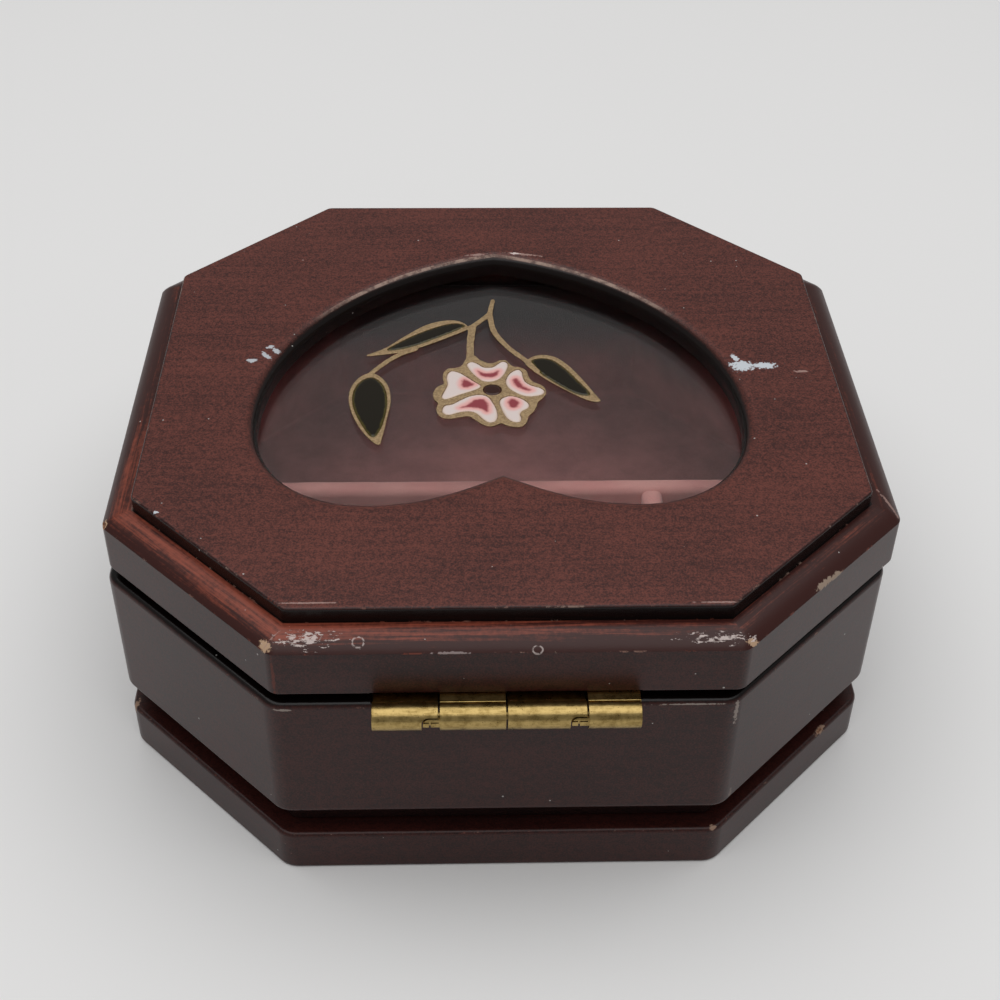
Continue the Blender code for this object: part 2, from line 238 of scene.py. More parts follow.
def capped(bm, loops, wholeEnds=False):
    # a skin closed at both ends, each of them in triangles or as one whole face
    skin(bm, loops)
    for loop in (loops[0], loops[-1]):
        if wholeEnds:
            bm.faces.new(loop)
        else:
            fillFlat(bm, loop)


def arcPoints(radius, start, end, steps):
    # angles in degrees, from the first axis towards the second
    angles = [math.radians(start + (end - start) * i / steps) for i in range(steps + 1)]
    return [(radius * math.cos(a), radius * math.sin(a)) for a in angles]


def roundEdge(out, z, radius, start, end, steps=6):
    # a softened edge in the plane of a profile; 0 degrees faces outwards
    return [(out + x, z + y) for x, y in arcPoints(radius, start, end, steps)]


def combine(piece, other, operation="DIFFERENCE", keepMaterial=False):
    # cuts one mesh out of another, or joins it on, and keeps only the result
    modifier = piece.modifiers.new(other.name, "BOOLEAN")
    modifier.operation = operation
    modifier.solver = "EXACT"
    modifier.object = other
    modifier.material_mode = "TRANSFER" if keepMaterial else "INDEX"
    applyModifiers(piece)
    bpy.data.objects.remove(other, do_unlink=True)


def applyModifiers(piece):
    graph = bpy.context.evaluated_depsgraph_get()
    mesh = bpy.data.meshes.new_from_object(piece.evaluated_get(graph))
    piece.modifiers.clear()
    old = piece.data
    piece.data = mesh
    bpy.data.meshes.remove(old)


def keepFlats(piece, sharpAngle=32.0):
    # marks the sharp edges again after the cuts; flat faces keep flat shading beside the softened edges
    piece.data.shade_smooth()
    piece.data.set_sharp_from_angle(angle=math.radians(sharpAngle))
    modifier = piece.modifiers.new("flats", "WEIGHTED_NORMAL")
    modifier.keep_sharp = True
    modifier.weight = 80


# Eight-sided outline shared by all the wooden pieces

outline = {
    "cornerCut": 34.4,        # taken off each end of a side
    "baseCorner": 5.0,        # radius of the upright corners of the base
    "lidCorner": 3.0,
    "innerCorner": 2.0,
    "sideSteps": 22,
    "cornerSteps": 8,
}
slantReach = (boxWidth - outline["cornerCut"]) / math.sqrt(2)


def octagon(middle, outset, radius):
    side = boxWidth / 2 + outset
    slant = slantReach + outset
    radius = max(radius + outset, outline["innerCorner"])
    points = []
    for k in range(8):
        first = (slant if k % 2 else side) - radius
        second = (side if k % 2 else slant) - radius
        along = (second - first * math.cos(math.pi / 4)) / math.sin(math.pi / 4)
        facing = Vector((math.cos(k * math.pi / 4), math.sin(k * math.pi / 4)))
        across = Vector((-facing.y, facing.x))
        corner = facing * first + across * along
        for step in range(outline["cornerSteps"] + 1):
            a = (k + step / outline["cornerSteps"]) * math.pi / 4
            points.append(corner + radius * Vector((math.cos(a), math.sin(a))))
    # the straight runs get points of their own
    dense = []
    for i, p in enumerate(points):
        after = points[(i + 1) % len(points)]
        dense.append((middle.x + p.x, middle.y + p.y))
        if (i + 1) % (outline["cornerSteps"] + 1) == 0:
            for step in range(1, outline["sideSteps"]):
                q = p.lerp(after, step / outline["sideSteps"])
                dense.append((middle.x + q.x, middle.y + q.y))
    return dense


def octagonLoops(bm, middle, radius, profile):
    return [addLoop(bm, octagon(middle, out, radius), z) for out, z in profile]


# Lacquered wood

lacquer = {
    "sideDeep": (0.014, 0.0042, 0.0038),
    "sideRed": (0.048, 0.0115, 0.0088),
    "panelDeep": (0.036, 0.0095, 0.0080),
    "panelRed": (0.142, 0.0385, 0.0275),
    "thinDark": (0.036, 0.0080, 0.0060),    # streaks of the moulding, where the lacquer is thin
    "thinOrange": (0.25, 0.056, 0.031),
    # painted shade for recesses and gaps
    "paintedShade": (0.0030, 0.0018, 0.0016),
    "bare": (0.42, 0.25, 0.15),             # wood in a fresh chip
    "bareDeep": (0.20, 0.085, 0.05),
    "pale": (0.42, 0.29, 0.23),             # a worn line along an edge, also the painted highlight on the window's lip
    # pale flakes of crackled lacquer, and the painted glints on them
    "flakeAndGlint": (0.66, 0.56, 0.53),
    "dust": (0.62, 0.60, 0.57),
    "roughness": 0.33,
    # roughness where the shade is painted
    "paintedShadeRoughness": 0.22,
    "grainStretch": 0.035,
    "panelStretch": 0.06,
    "sideTones": (0.41, 0.59),              # grain values where the darker and the redder colour are full
    "panelTones": (0.40, 0.60),
    "streakTones": (0.82, 1.24),
    "strokeTones": (0.58, 0.63),
    "wearStrength": 0.45,
    "wearRoughness": 0.15,
    "flakeAndGlintStrength": 0.8,
    "speckStrength": 0.6,
    "noises": {               # scale by the millimetre, detail and roughness
        "cloud": (0.045, 3.0, 0.6),
        "mottle": (0.9, 4.0, 0.7),
        "fine": (2.6, 3.0, 0.7),
        "patch": (0.35, 4.0, 0.75),
        "ragged": (1.3, 3.0, 0.7),
    },
    "spotRaggedness": 2.4,
    "spotEdge": (0.72, 0.98),
    "ringEdge": (0.05, 0.20),
    "speckScale": 0.34,
    "speckRarity": 0.5,       # share of the cells that stay empty
    "speckSize": 0.066,
}


def sideFields(point):
    # where a point lies by the octagon: along its side, outside the outline, and a number for each side
    x, y, z = point.parts()
    straight = abs(x).calc("MAXIMUM", abs(y)) - boxWidth / 2
    slant = (abs(x) + abs(y)) * math.sqrt(0.5) - slantReach
    onSlant = slant > straight
    facesX = abs(x) > abs(y)
    signX, signY = x.calc("SIGN"), y.calc("SIGN")
    alongSlant = (x - y * (signX * signY)) * math.sqrt(0.5)
    straightSeed = (signY * 17.0).toward(signX * 31.0, facesX)
    return {
        "x": x,
        "y": y,
        "z": z,
        "along": x.toward(y, facesX).toward(alongSlant, onSlant),
        "corner": abs(straight - slant),
        "seed": straightSeed.toward(signX * 53.0 + signY * 79.0, onSlant),
        "out": straight.calc("MAXIMUM", slant),
    }


def spotReach(point, mark, ragged=None):
    # how far out a point is in a patch: (x, y, z, half length, half width, half height, turn in degrees)
    turn = (0, 0, math.radians(mark[6]))
    inputs = {"Vector": point, "Location": mark[:3], "Rotation": turn, "Scale": mark[3:6]}
    local = point.add("ShaderNodeMapping", inputs, vector_type="TEXTURE")
    reach = local.add("ShaderNodeVectorMath", {0: local}, "Value", operation="LENGTH")
    return reach + (ragged - 0.5) * lacquer["spotRaggedness"] if ragged else reach


def ringMask(point, mark, ragged):
    # a round scratch, open where the ragged noise is low
    off = abs(spotReach(point, mark) - 1.0)
    return off.fade(*lacquer["ringEdge"]) * ragged.ease(0.38, 0.5, 0.0, 0.7)


def lineMask(fields, line, patch):
    # wear along an edge: line is (outset, height, half width, how much of the length is worn 0 to 1)
    out, z, width, share = line
    across, up = fields["out"] - out, fields["z"] - z
    reach = (across.calc("POWER", 2.0) + up.calc("POWER", 2.0)).calc("SQRT")
    return reach.fade(width * 0.45, width) * patch.ease(0.62 - 0.3 * share, 0.70 - 0.3 * share)


def makeLacquer(name, middle, look):
    # look holds what differs from piece to piece: worn edges, corners, marks, shaded bands, moulding and panel
    material, shader = newMaterial(name, IOR=1.36)
    point = pointMm(material, middle.x, middle.y)
    fields = sideFields(point)
    out, height = fields["out"], fields["z"]
    cloud, mottle, fine, patch, ragged = [point.noise(*values) for values in lacquer["noises"].values()]

    # grain runs along each side
    grainPoint = joined(fields["along"] * lacquer["grainStretch"] + fields["seed"], out, height)
    grain = grainPoint.noise(0.55, 5.0, 0.6)
    speckled = mottle * 0.25 + fine * 0.50
    tone = speckled + grain.toward(cloud, 0.5) * 0.25
    colour = tone.ease(*lacquer["sideTones"]).mix(lacquer["sideDeep"], lacquer["sideRed"])
    rough = mottle * 0.10 + (lacquer["roughness"] - 0.05)

    if "panelOut" in look:
        flatGrain = point.scaled((lacquer["panelStretch"], 1.0, 1.0)).noise(0.8, 4.0, 0.7)
        tone = speckled + flatGrain.toward(cloud, 0.4) * 0.25
        warm = tone.ease(*lacquer["panelTones"]).mix(lacquer["panelDeep"], lacquer["panelRed"])
        colour = out.fade(look["panelOut"] - 0.2, look["panelOut"]).mix(colour, warm)

    if "moulding" in look:
        # streaks where the lacquer is thin, most of them high on the curve; towards +X and the hinge side they
        # are painted brighter, a painted highlight where the light falls
        low, high, foot = look["moulding"]
        litSide = (fields["x"] * 0.5 + fields["y"] * 0.8).ease(25.0, 88.0, 0.5, 1.15)
        onCurve = height.ease(low, low + 0.3) * height.fade(high, high + 0.1) * out.ease(foot - 0.15, foot)
        bright = grainPoint.noise(1.5, 4.0, 0.7) + height.ease(low + 0.4, high, 0.0, 0.38)
        bright = bright + mottle * 0.4 + (litSide - 1.0) * 0.5
        thin = bright.ease(*lacquer["streakTones"]).mix(lacquer["thinDark"], lacquer["thinOrange"])
        colour = onCurve.mix(colour, thin)

    if "shades" in look:
        # painted shade in recesses and gaps, dark and smoother: (outset low, high, height low, high, soft edge,
        # depth)
        shades = []
        for outLow, outHigh, low, high, soft, depth in look["shades"]:
            shade = height.band(low, high, soft, soft) * out.ease(outLow, outLow + 0.3)
            shades.append(shade * out.fade(outHigh - 0.3, outHigh) * depth)
        dark = anyOf(shades)
        colour = dark.mix(colour, lacquer["paintedShade"])
        rough = rough.toward(lacquer["paintedShadeRoughness"], dark)

    # worn edges, and upright corners worn over a height: (height low, high, share)
    low, high, share = look["corners"]
    nearCorner = fields["corner"].fade(0.3, 1.3) * out.ease(-1.6, -0.7) * height.band(low, high, 1.0, 1.0)
    masks = [lineMask(fields, line, patch) for line in look["edges"]]
    worn = anyOf(masks + [nearCorner * ragged.ease(0.68 - 0.2 * share, 0.76 - 0.2 * share)])
    tint = cloud.ease(0.4, 0.6).mix(lacquer["thinOrange"], lacquer["pale"])
    colour = (worn * lacquer["wearStrength"]).mix(colour, tint)
    rough = rough + worn * lacquer["wearRoughness"]

    if "lip" in look:
        # a painted highlight along the lip of the window, on the side away from the hinge: (height low, high,
        # farther than)
        low, high, far = look["lip"]
        lipHighlight = height.band(low, high, 0.15, 0.1) * fields["y"].fade(far - 14.0, far) * out.fade(-9.5, -9.2)
        colour = (lipHighlight * patch.ease(0.40, 0.62, 0.15, 0.75)).mix(colour, lacquer["pale"])

    for paint, strength, group in look["marks"]:
        mask = anyOf([spotReach(point, mark, ragged).fade(*lacquer["spotEdge"]) for mark in group])
        colour = (mask * strength).mix(colour, paint)
        rough = rough + mask * 0.2

    speck = point.specks(lacquer["speckScale"], lacquer["speckRarity"], lacquer["speckSize"])
    layers = [(cloud, 0.3, 0.10), (mottle, 0.03, 0.30), (fine, 0.020, 0.45), (speck, 0.08, 0.5)]
    layers.append((1.0 - worn, 0.06, 0.6))
    if "flakingAndGlints" in look:
        # crackled, flaking lacquer with its bright glints painted in pale: strokes that lie closer together in
        # the middle of each patch
        strokes = joined(fields["along"] * 0.4, out, height).noise(1.3, 4.0, 0.7)
        middles = anyOf([1.0 - spotReach(point, mark) for mark in look["flakingAndGlints"]])
        lines = (strokes + middles * 0.22).ease(*lacquer["strokeTones"])
        glintsAndScratches = anyOf([lines] + [ringMask(point, mark, ragged) for mark in look["rings"]])
        colour = (glintsAndScratches * lacquer["flakeAndGlintStrength"]).mix(colour, lacquer["flakeAndGlint"])
        rough = rough + glintsAndScratches * 0.3
        layers.append((lines, 0.06, 0.8))
    colour = (speck * lacquer["speckStrength"]).mix(colour, lacquer["dust"])
    wire(shader, layers, Base_Color=colour, Roughness=rough)
    return material


def makeBareWood():
    # splintered wood inside a chip
    material, shader = newMaterial("chippedWood", Roughness=0.8)
    grain = pointMm(material).noise(3.0, 4.0, 0.7)
    colour = grain.ease(0.35, 0.65).mix(lacquer["bareDeep"], lacquer["bare"])
    wire(shader, [(grain, 0.1, 0.6)], Base_Color=colour)
    return material


bareWood = makeBareWood()


# Chips broken out of the edges

def makeChips(name, middle, chips):
    # chips are (x, y, z, half length, half width, half depth, turn in degrees), from the piece's middle
    bm = bmesh.new()
    for number, (x, y, z, length, width, depth, turn) in enumerate(chips):
        before = set(bm.verts)
        bmesh.ops.create_icosphere(bm, subdivisions=3, radius=1.0)
        seed = Vector((number * 7.3, 2.1, 5.7))
        place = Matrix.Translation((middle.x + x, middle.y + y, z))
        place = place @ Matrix.Rotation(math.radians(turn), 4, "Z")
        for v in set(bm.verts) - before:
            lump = 1 + 0.55 * noise.noise(v.co * 1.7 + seed) + 0.2 * noise.noise(v.co * 5.0 + seed)
            co = v.co * lump
            v.co = place @ Vector((co.x * length, co.y * width, co.z * depth))
    return finishMesh(name, bm, bareWood, smoothAngle=25)


# Base: foot board and walls

baseSizes = {
    "wall": 9.5,
    "neckDepth": 4.0,         # of the groove above the foot board
    "neckHeight": 6.0,
    "rimRadius": 1.3,
    "rimDrop": 0.8,           # of the outer edge, so that a dark gap shows under the lid
    "rimSetBack": 2.6,
    "innerRimRadius": 0.6,
    "wallFootRadius": 1.6,
    "plinthTopRadius": 0.9,
    "plinthFootRadius": 0.7,
}
# colours bared by wear
tan = (0.36, 0.23, 0.16)
warmTan = (0.50, 0.33, 0.21)
brownTan = (0.33, 0.25, 0.19)
grey = (0.30, 0.25, 0.22)
greyish = (0.30, 0.24, 0.23)
pinkish = (0.36, 0.23, 0.20)
blueWhite = (0.56, 0.60, 0.64)


def makePlinth():
    top = plinthTop
    footRadius, topRadius = baseSizes["plinthFootRadius"], baseSizes["plinthTopRadius"]
    profile = roundEdge(-footRadius, footRadius, footRadius, -90, 0)
    profile += [(0, 0.35 * top), (0, 0.65 * top)]
    profile += roundEdge(-topRadius, top - topRadius, topRadius, 0, 90)
    profile.append((-baseSizes["neckDepth"] - 2.0, top))
    bm = bmesh.new()
    capped(bm, octagonLoops(bm, baseMiddle, outline["baseCorner"], profile))
    look = {
        "edges": [(-0.2, top - 0.2, 0.30, 0.12), (-0.2, 0.25, 0.4, 0.1)],
        "corners": (0.5, top, 0.1),
        "marks": [(tan, 0.8, [(75.5, 41.6, 9.4, 2.0, 0.7, 1.1, 65), (-66.5, 50.6, 9.6, 1.8, 0.7, 0.8, 45),
                              (-41.2, 75.6, 9.9, 0.8, 0.7, 0.5, 0)])],
    }
    finish = makeLacquer("plinthLacquer", baseMiddle, look)
    plinth = finishMesh("plinthBoard", bm, finish, "base", ["plinth"])
    chips = [(76.0, 41.9, 9.9, 1.8, 0.6, 0.7, 65), (-41.6, 76.3, 10.1, 0.8, 0.5, 0.6, 0),
             (-66.6, 50.9, 10.1, 1.2, 0.5, 0.5, 45)]
    combine(plinth, makeChips("plinthChips", baseMiddle, chips), keepMaterial=True)
    keepFlats(plinth)


def makeWalls():
    s = baseSizes
    floor, rim = wallsLow.z, wallsHigh.z
    top = floor + s["neckHeight"]
    edge = rim - s["rimDrop"]
    foot, rounding, inner = s["wallFootRadius"], s["rimRadius"], s["innerRimRadius"]
    profile = [(-s["wall"], floor), (-s["neckDepth"], floor), (-s["neckDepth"], top)]
    profile += roundEdge(-foot, top + foot, foot, -90, 0)
    profile += [(0, top + 0.35 * (rim - top)), (0, top + 0.65 * (rim - top))]
    profile += roundEdge(-rounding, edge - rounding, rounding, 0, 90)
    profile += [(-s["rimSetBack"], edge), (-s["rimSetBack"], rim)]
    profile += roundEdge(inner - s["wall"], rim - inner, inner, 90, 180)
    bm = bmesh.new()
    skin(bm, octagonLoops(bm, baseMiddle, outline["baseCorner"], profile), close=True)
    look = {
        "edges": [(-0.25, edge - 1.0, 0.35, 0.12), (-0.35, top + 0.4, 0.35, 0.08)],
        "corners": (17.0, 46.0, 0.0),
        # painted shade under the lid's edge and in the groove above the foot board
        "shades": [(-9.2, 0.3, edge - 0.7, rim + 9.0, 0.5, 0.97),
                   (-9.0, -1.2, floor - 1.0, top + 0.6, 0.3, 0.7)],
        "marks": [
            (grey, 0.8, [(39.6, 76.0, 45.1, 1.6, 0.8, 0.30, 0), (-34.0, 76.0, 45.5, 6.5, 0.7, 0.18, 0),
                         (-42.2, 75.6, 43.0, 0.5, 0.6, 3.4, 0), (-43.4, 74.6, 16.0, 0.8, 0.8, 0.8, 0)]),
            (grey, 0.5, [(-43.9, 74.4, 18.5, 0.5, 0.6, 1.6, 0)]),
        ],
    }
    finish = makeLacquer("wallLacquer", baseMiddle, look)
    walls = finishMesh("boxWood", bm, finish, "base", ["box_walls"])
    combine(walls, mortiseCutter(rim - hinge["leaf"] - hinge["glue"], lidLow.z))
    keepFlats(walls)


# Lid

lidSizes = {
    "wall": 9.5,
    "band": 10.7,             # height of the upright band
    "mouldingRise": 2.3,
    "mouldingWidth": 5.75,
    "mouldingBulge": 0.7,
    "footRadius": 0.5,
    "footRise": 0.7,          # of the outer edge above the lid's underside
    "footSetBack": 2.6,
    "panelEdgeRadius": 0.5,
    "panelThickness": 4.8,
}
heart = {
    "width": 101.8,
    "length": 91.6,
    "offset": 3.2,            # of its middle from the lid's, away from the hinge
    "glassInset": 1.8,        # of the opening over the glass, from the outline below
    "roundOver": 2.8,
    "steps": 30,              # along each of its six curves
    "edgeSteps": 8,
}


def mouldingCurve(steps=14):
    # a shallow swelling curve from the arris in to the foot of the panel's step
    s = lidSizes
    rise, width, bulge = s["mouldingRise"], s["mouldingWidth"], s["mouldingBulge"]
    chord = math.hypot(width, rise)
    radius = (chord * chord / 4 + bulge * bulge) / (2 * bulge)
    half = math.asin(chord / 2 / radius)
    lean = math.atan2(rise, width)
    points = []
    for i in range(steps + 1):
        a = half * (2 * i / steps - 1)
        along = chord / 2 + radius * math.sin(a)
        over = radius * (math.cos(a) - math.cos(half))
        inward = along * math.cos(lean) - over * math.sin(lean)
        points.append((-inward, lidLow.z + s["band"] + along * math.sin(lean) + over * math.cos(lean)))
    return points


def bezier(p0, p1, p2, p3, steps):
    points = []
    for i in range(steps):
        t = i / steps
        s = 1 - t
        points.append(p0 * s ** 3 + p1 * (3 * s * s * t) + p2 * (3 * s * t * t) + p3 * t ** 3)
    return points


def heartLoop():
    # one side in three curves from the point to the cleft, then its mirror image; shares of width and length
    side = [
        ((0.0, 0.0), (0.51, 0.066), (1.0, 0.33), (1.0, 0.677)),
        ((1.0, 0.677), (1.0, 0.875), (0.79, 1.0), (0.511, 1.0)),
        ((0.511, 1.0), (0.275, 1.0), (0.118, 0.942), (0.0, 0.906)),
    ]
    start = lidMiddle.y - heart["length"] / 2 - heart["offset"]

    def place(share, mirror):
        across = mirror * heart["width"] / 2 * share[0]
        return Vector((lidMiddle.x + across, start + heart["length"] * share[1]))

    points = []
    for curve in side:
        points += bezier(*[place(p, 1) for p in curve], heart["steps"])
    for curve in reversed(side):
        points += bezier(*[place(p, -1) for p in reversed(curve)], heart["steps"])
    return points


def insetLoop(points, distance):
    # moves an anticlockwise outline inwards, with mitred corners
    moved = []
    count = len(points)
    for i in range(count):
        before, here, after = points[i - 1], points[i], points[(i + 1) % count]
        first = math.atan2(here[1] - before[1], here[0] - before[0])
        second = math.atan2(after[1] - here[1], after[0] - here[0])
        half = math.remainder(second - first, 2 * math.pi) / 2
        inward = first + half + math.pi / 2
        reach = distance / max(math.cos(half), 0.3)
        moved.append((here[0] + reach * math.cos(inward), here[1] + reach * math.sin(inward)))
    return moved


def makeLid():
    s = lidSizes
    foot, top = lidLow.z, lidHigh.z
    underside = top - s["panelThickness"]
    arris = foot + s["band"]
    edge, rounding, lift = s["panelEdgeRadius"], s["footRadius"], s["footRise"]
    step = -s["mouldingWidth"]
    shelf = arris + s["mouldingRise"]
    profile = [(-s["wall"], underside), (-s["wall"], foot)]
    profile += [(-s["footSetBack"], foot), (-s["footSetBack"], foot + lift)]
    profile += roundEdge(-rounding, foot + lift + rounding, rounding, -90, 0)
    profile += mouldingCurve()
    profile += roundEdge(step - edge, top - edge, edge, 0, 90)
    profile.append((step - edge - 0.6, top))
    bm = bmesh.new()
    loops = octagonLoops(bm, lidMiddle, outline["lidCorner"], profile)
    skin(bm, loops)
    over = heart["roundOver"]
    rim = insetLoop(heartLoop(), heart["glassInset"] - over)
    window = [addLoop(bm, insetLoop(rim, -0.4), top)]
    for inward, drop in arcPoints(over, 90, 0, heart["edgeSteps"]):
        window.append(addLoop(bm, insetLoop(rim, inward), top - over + drop))
    window.append(addLoop(bm, insetLoop(rim, over), underside))
    skin(bm, window)
    fillFlat(bm, loops[-1], window[0])
    fillFlat(bm, loops[0], window[-1])

    look = {
        "edges": [(step + 0.12, shelf + 0.02, 0.22, 0.2), (step - 0.15, top - 0.1, 0.24, 0.25),
                  (-0.1, arris, 0.24, 0.22)],
        "corners": (foot, arris + 0.8, 0.0),
        "panelOut": step - 0.25,
        # a painted highlight along the window's far lip
        "lip": (top - 0.75, top - 0.2, -18.0),
        "moulding": (arris - 0.1, shelf, step),
        # painted shade on the step's wall, inside the window and the lid, and along the lid's lower edge
        "shades": [(step - 0.75, step + 0.35, shelf - 0.5, top - 0.15, 0.25, 0.97),
                   (-90.0, -9.2, foot - 1.0, top - 0.02, 1.0, 0.97),
                   (-9.4, 0.3, foot - 1.0, foot + 1.0, 0.3, 0.95)],
        "marks": [
            (blueWhite, 1.0, [(-51.4, -2.6, top, 2.6, 2.0, 0.5, 0), (-56.0, -2.7, top, 3.0, 1.3, 0.5, 0),
                              (-50.3, -5.6, top, 0.7, 1.5, 0.5, 20), (65.0, 44.0, top, 0.6, 0.5, 0.4, 0)]),
            (blueWhite, 0.8, [(46.2, -8.6, top, 2.4, 0.8, 0.5, -35), (49.0, -7.2, top, 1.8, 0.7, 0.5, -50),
                              (48.4, -10.4, top, 1.0, 0.6, 0.5, 20), (44.2, -11.6, top, 1.2, 0.6, 0.5, -30),
                              (51.8, -5.4, top, 1.2, 0.7, 0.5, 0)]),
            (pinkish, 0.8, [(-63.6, -0.5, top, 2.0, 0.4, 0.4, 0), (35.0, 68.9, top, 5.0, 0.22, 0.4, 0),
                            (-36.5, 69.6, top, 4.0, 0.22, 0.4, 0), (-7.0, -48.2, top - 0.3, 4.6, 0.5, 0.6, -12),
                            (4.5, -48.2, top - 0.3, 2.8, 0.4, 0.6, 10)]),
            (lacquer["flakeAndGlint"], 0.9, [(-5.2, -48.6, top - 0.2, 1.3, 0.5, 0.5, -10)]),
            (warmTan, 0.9, [(42.4, 74.4, arris + 0.5, 1.5, 1.4, 0.9, 30),
                            (-42.8, 74.6, arris + 0.5, 1.6, 0.9, 0.7, 0),
                            (75.2, 41.2, arris + 0.3, 1.2, 0.7, 0.7, 60)]),
            (brownTan, 0.85, [(-58.3, 59.3, arris + 0.3, 3.0, 0.9, 0.6, 43),
                              (-60.4, 57.3, arris + 0.1, 2.2, 0.8, 0.5, 43)]),
            (pinkish, 0.7, [(-74.2, 38.0, arris + 1.0, 4.8, 0.4, 2.4, -66),
                            (40.1, 72.5, arris + 0.9, 3.4, 0.25, 1.4, 43),
                            (41.9, 74.6, 57.0, 0.9, 0.9, 1.4, 0)]),
            (lacquer["thinOrange"], 0.3, [(41.4, 75.8, 53.6, 0.35, 0.8, 5.5, 0)]),
            (greyish, 0.8, [(10.0, 76.2, arris + 0.1, 3.6, 0.4, 0.25, 0)]),
        ],
        # crackled lacquer with painted glints, and round scratches
        "flakingAndGlints": [(35.2, 73.6, arris + 1.0, 6.0, 1.9, 1.6, 0), (-36.4, 74.2, arris + 0.8, 7.5, 1.3, 1.4, 0)],
        "rings": [(26.3, 74.4, arris + 0.8, 1.1, 0.9, 1.6, 0), (-4.9, 75.6, arris + 0.1, 1.0, 0.7, 0.8, 0)],
    }
    finish = makeLacquer("lidLacquer", lidMiddle, look)
    lid = finishMesh("lidWood", bm, finish, "lid", ["lid_frame"])
    chips = [(42.8, 75.6, arris + 0.3, 1.3, 0.9, 0.7, 25), (-43.2, 75.5, arris + 0.4, 1.5, 0.7, 0.6, -10),
             (-59.3, 59.2, arris + 0.1, 2.4, 0.5, 0.4, 43), (75.9, 41.5, arris + 0.2, 1.3, 0.7, 0.6, 65)]
    combine(lid, makeChips("lidChips", lidMiddle, chips), keepMaterial=True)
    combine(lid, mortiseCutter(wallsHigh.z, foot + hinge["leaf"] + hinge["glue"]))
    keepFlats(lid)


# Hinge

hinge = {
    "length": 48.0,
    "knuckles": (12.0, 12.0, 14.3, 9.7),     # from the +X end, the base leaf's first
    "leaf": 0.8,
    "leafWidth": 7.6,
    "leafSetBack": 2.4,       # of the plates from the back of the box
    "glue": 0.3,
    "barrel": 2.6,            # radius
    "bore": 1.15,
    "pin": 0.9,
    "gap": 0.25,
    "softEnd": 0.16,
    "stopWidth": 2.7,
    "stopArch": 1.2,
    "stopTop": 36.0,          # degrees above the horizontal
    "stopAngle": 40.0,
    "opening": 95.0,
    "sides": 72,
}


def mortiseCutter(low, high):
    side = hinge["length"] / 2 + hinge["glue"]
    front = backY - hinge["leafWidth"] - hinge["glue"]
    corners = [(-side, front), (side, front), (side, axisPoint.y), (-side, axisPoint.y)]
    bm = bmesh.new()
    capped(bm, [addLoop(bm, corners, low), addLoop(bm, corners, high)], wholeEnds=True)
    return finishMesh("hingeBed", bm, bareWood)


brassLook = {
    "bright": (0.46, 0.330, 0.128),
    "dull": (0.25, 0.170, 0.057),
    "pit": (0.05, 0.028, 0.014),
    "roughness": 0.22,
    "brushStretch": 0.12,
    "pitScale": 2.3,
    "pitRarity": 0.35,
    "pitSize": 0.19,
}


def makeBrass():
    b = brassLook
    material, shader = newMaterial("wornBrass", Metallic=1.0)
    point = pointMm(material)
    tarnish = point.noise(0.5, 5.0, 0.7)
    brushed = point.scaled((b["brushStretch"], 1.0, 1.0)).noise(3.5, 3.0, 0.6)
    pits = point.specks(b["pitScale"], b["pitRarity"], b["pitSize"])
    colour = (tarnish * 0.7 + brushed * 0.3).ease(0.36, 0.60).mix(b["dull"], b["bright"])
    colour = (pits * 0.8).mix(colour, b["pit"])
    rough = tarnish * 0.14 + b["roughness"]
    layers = [(brushed, 0.03, 0.3), (tarnish, 0.12, 0.25), (pits, 0.05, -0.5)]
    wire(shader, layers, Base_Color=colour, Roughness=rough)
    return material


brass = makeBrass()


def barrelArc(radius, start, end):
    # points round the hinge's axis, in degrees from +Y towards +Z
    return arcPoints(radius, start, end, max(2, round(abs(end - start) / 360 * hinge["sides"])))


def rolledSection(onLid):
    # the sheet leaves the barrel towards the wood; on the lid leaf its rolled end shows as a seam on top
    radius = hinge["barrel"]
    low = radius - hinge["leaf"] if onLid else wallsHigh.z - hinge["leaf"] - axisPoint.z
    high = low + hinge["leaf"]
    root = backY - hinge["leafSetBack"] - 0.4 - axisPoint.y
    start = 180 - math.degrees(math.asin(low / radius))
    if not onLid:
        end = 540 - math.degrees(math.asin(high / radius))
        return [(root, high), (root, low)] + barrelArc(radius, start, end)
    seam = [(-0.50, high - 0.4), (-0.70, high - 0.4), (-0.80, high - 0.04), (-0.92, high), (-1.08, high - 0.05),
            (-1.25, high - 0.18)]
    return [(root, high - 0.18), (root, low)] + barrelArc(radius, start, 459.0) + seam


def alongAxis(bm, x, section):
    return [bm.verts.new((x, axisPoint.y + y, axisPoint.z + z)) for y, z in section]


def addRod(bm, section, low, high, soft):
    # runs a section along the axis and softens its two ends
    loops = []
    for x, inset in ((low, soft), (low + 0.3 * soft, 0.3 * soft), (low + soft, 0), (high - soft, 0),
                     (high - 0.3 * soft, 0.3 * soft), (high, soft)):
        loops.append(alongAxis(bm, x, insetLoop(section, inset) if inset else section))
    capped(bm, loops)


def sectorMesh(name, slices, steps=24):
    # slices are (x, inner radius, outer radius, bottom angle, top angle)
    bm = bmesh.new()
    loops = []
    for x, inner, outer, bottom, top in slices:
        section = arcPoints(outer, bottom, top, steps) + arcPoints(inner, bottom, top, steps)[::-1]
        loops.append(alongAxis(bm, x, section))
    capped(bm, loops)
    return finishMesh(name, bm, brass)


def stopShape(name, start, end, inner, outer, bottom, top, steps=8):
    # a stop's notch or tongue, its far upper corner rounded off
    arch = hinge["stopArch"]
    slices = [(start, inner, outer, bottom, top)]
    for i in range(steps + 1):
        a = math.pi / 2 * i / steps
        drop = math.degrees(arch * (1 - math.cos(a)) / hinge["barrel"])
        slices.append((end - arch + arch * math.sin(a), inner, outer, bottom, top - drop))
    return sectorMesh(name, slices)


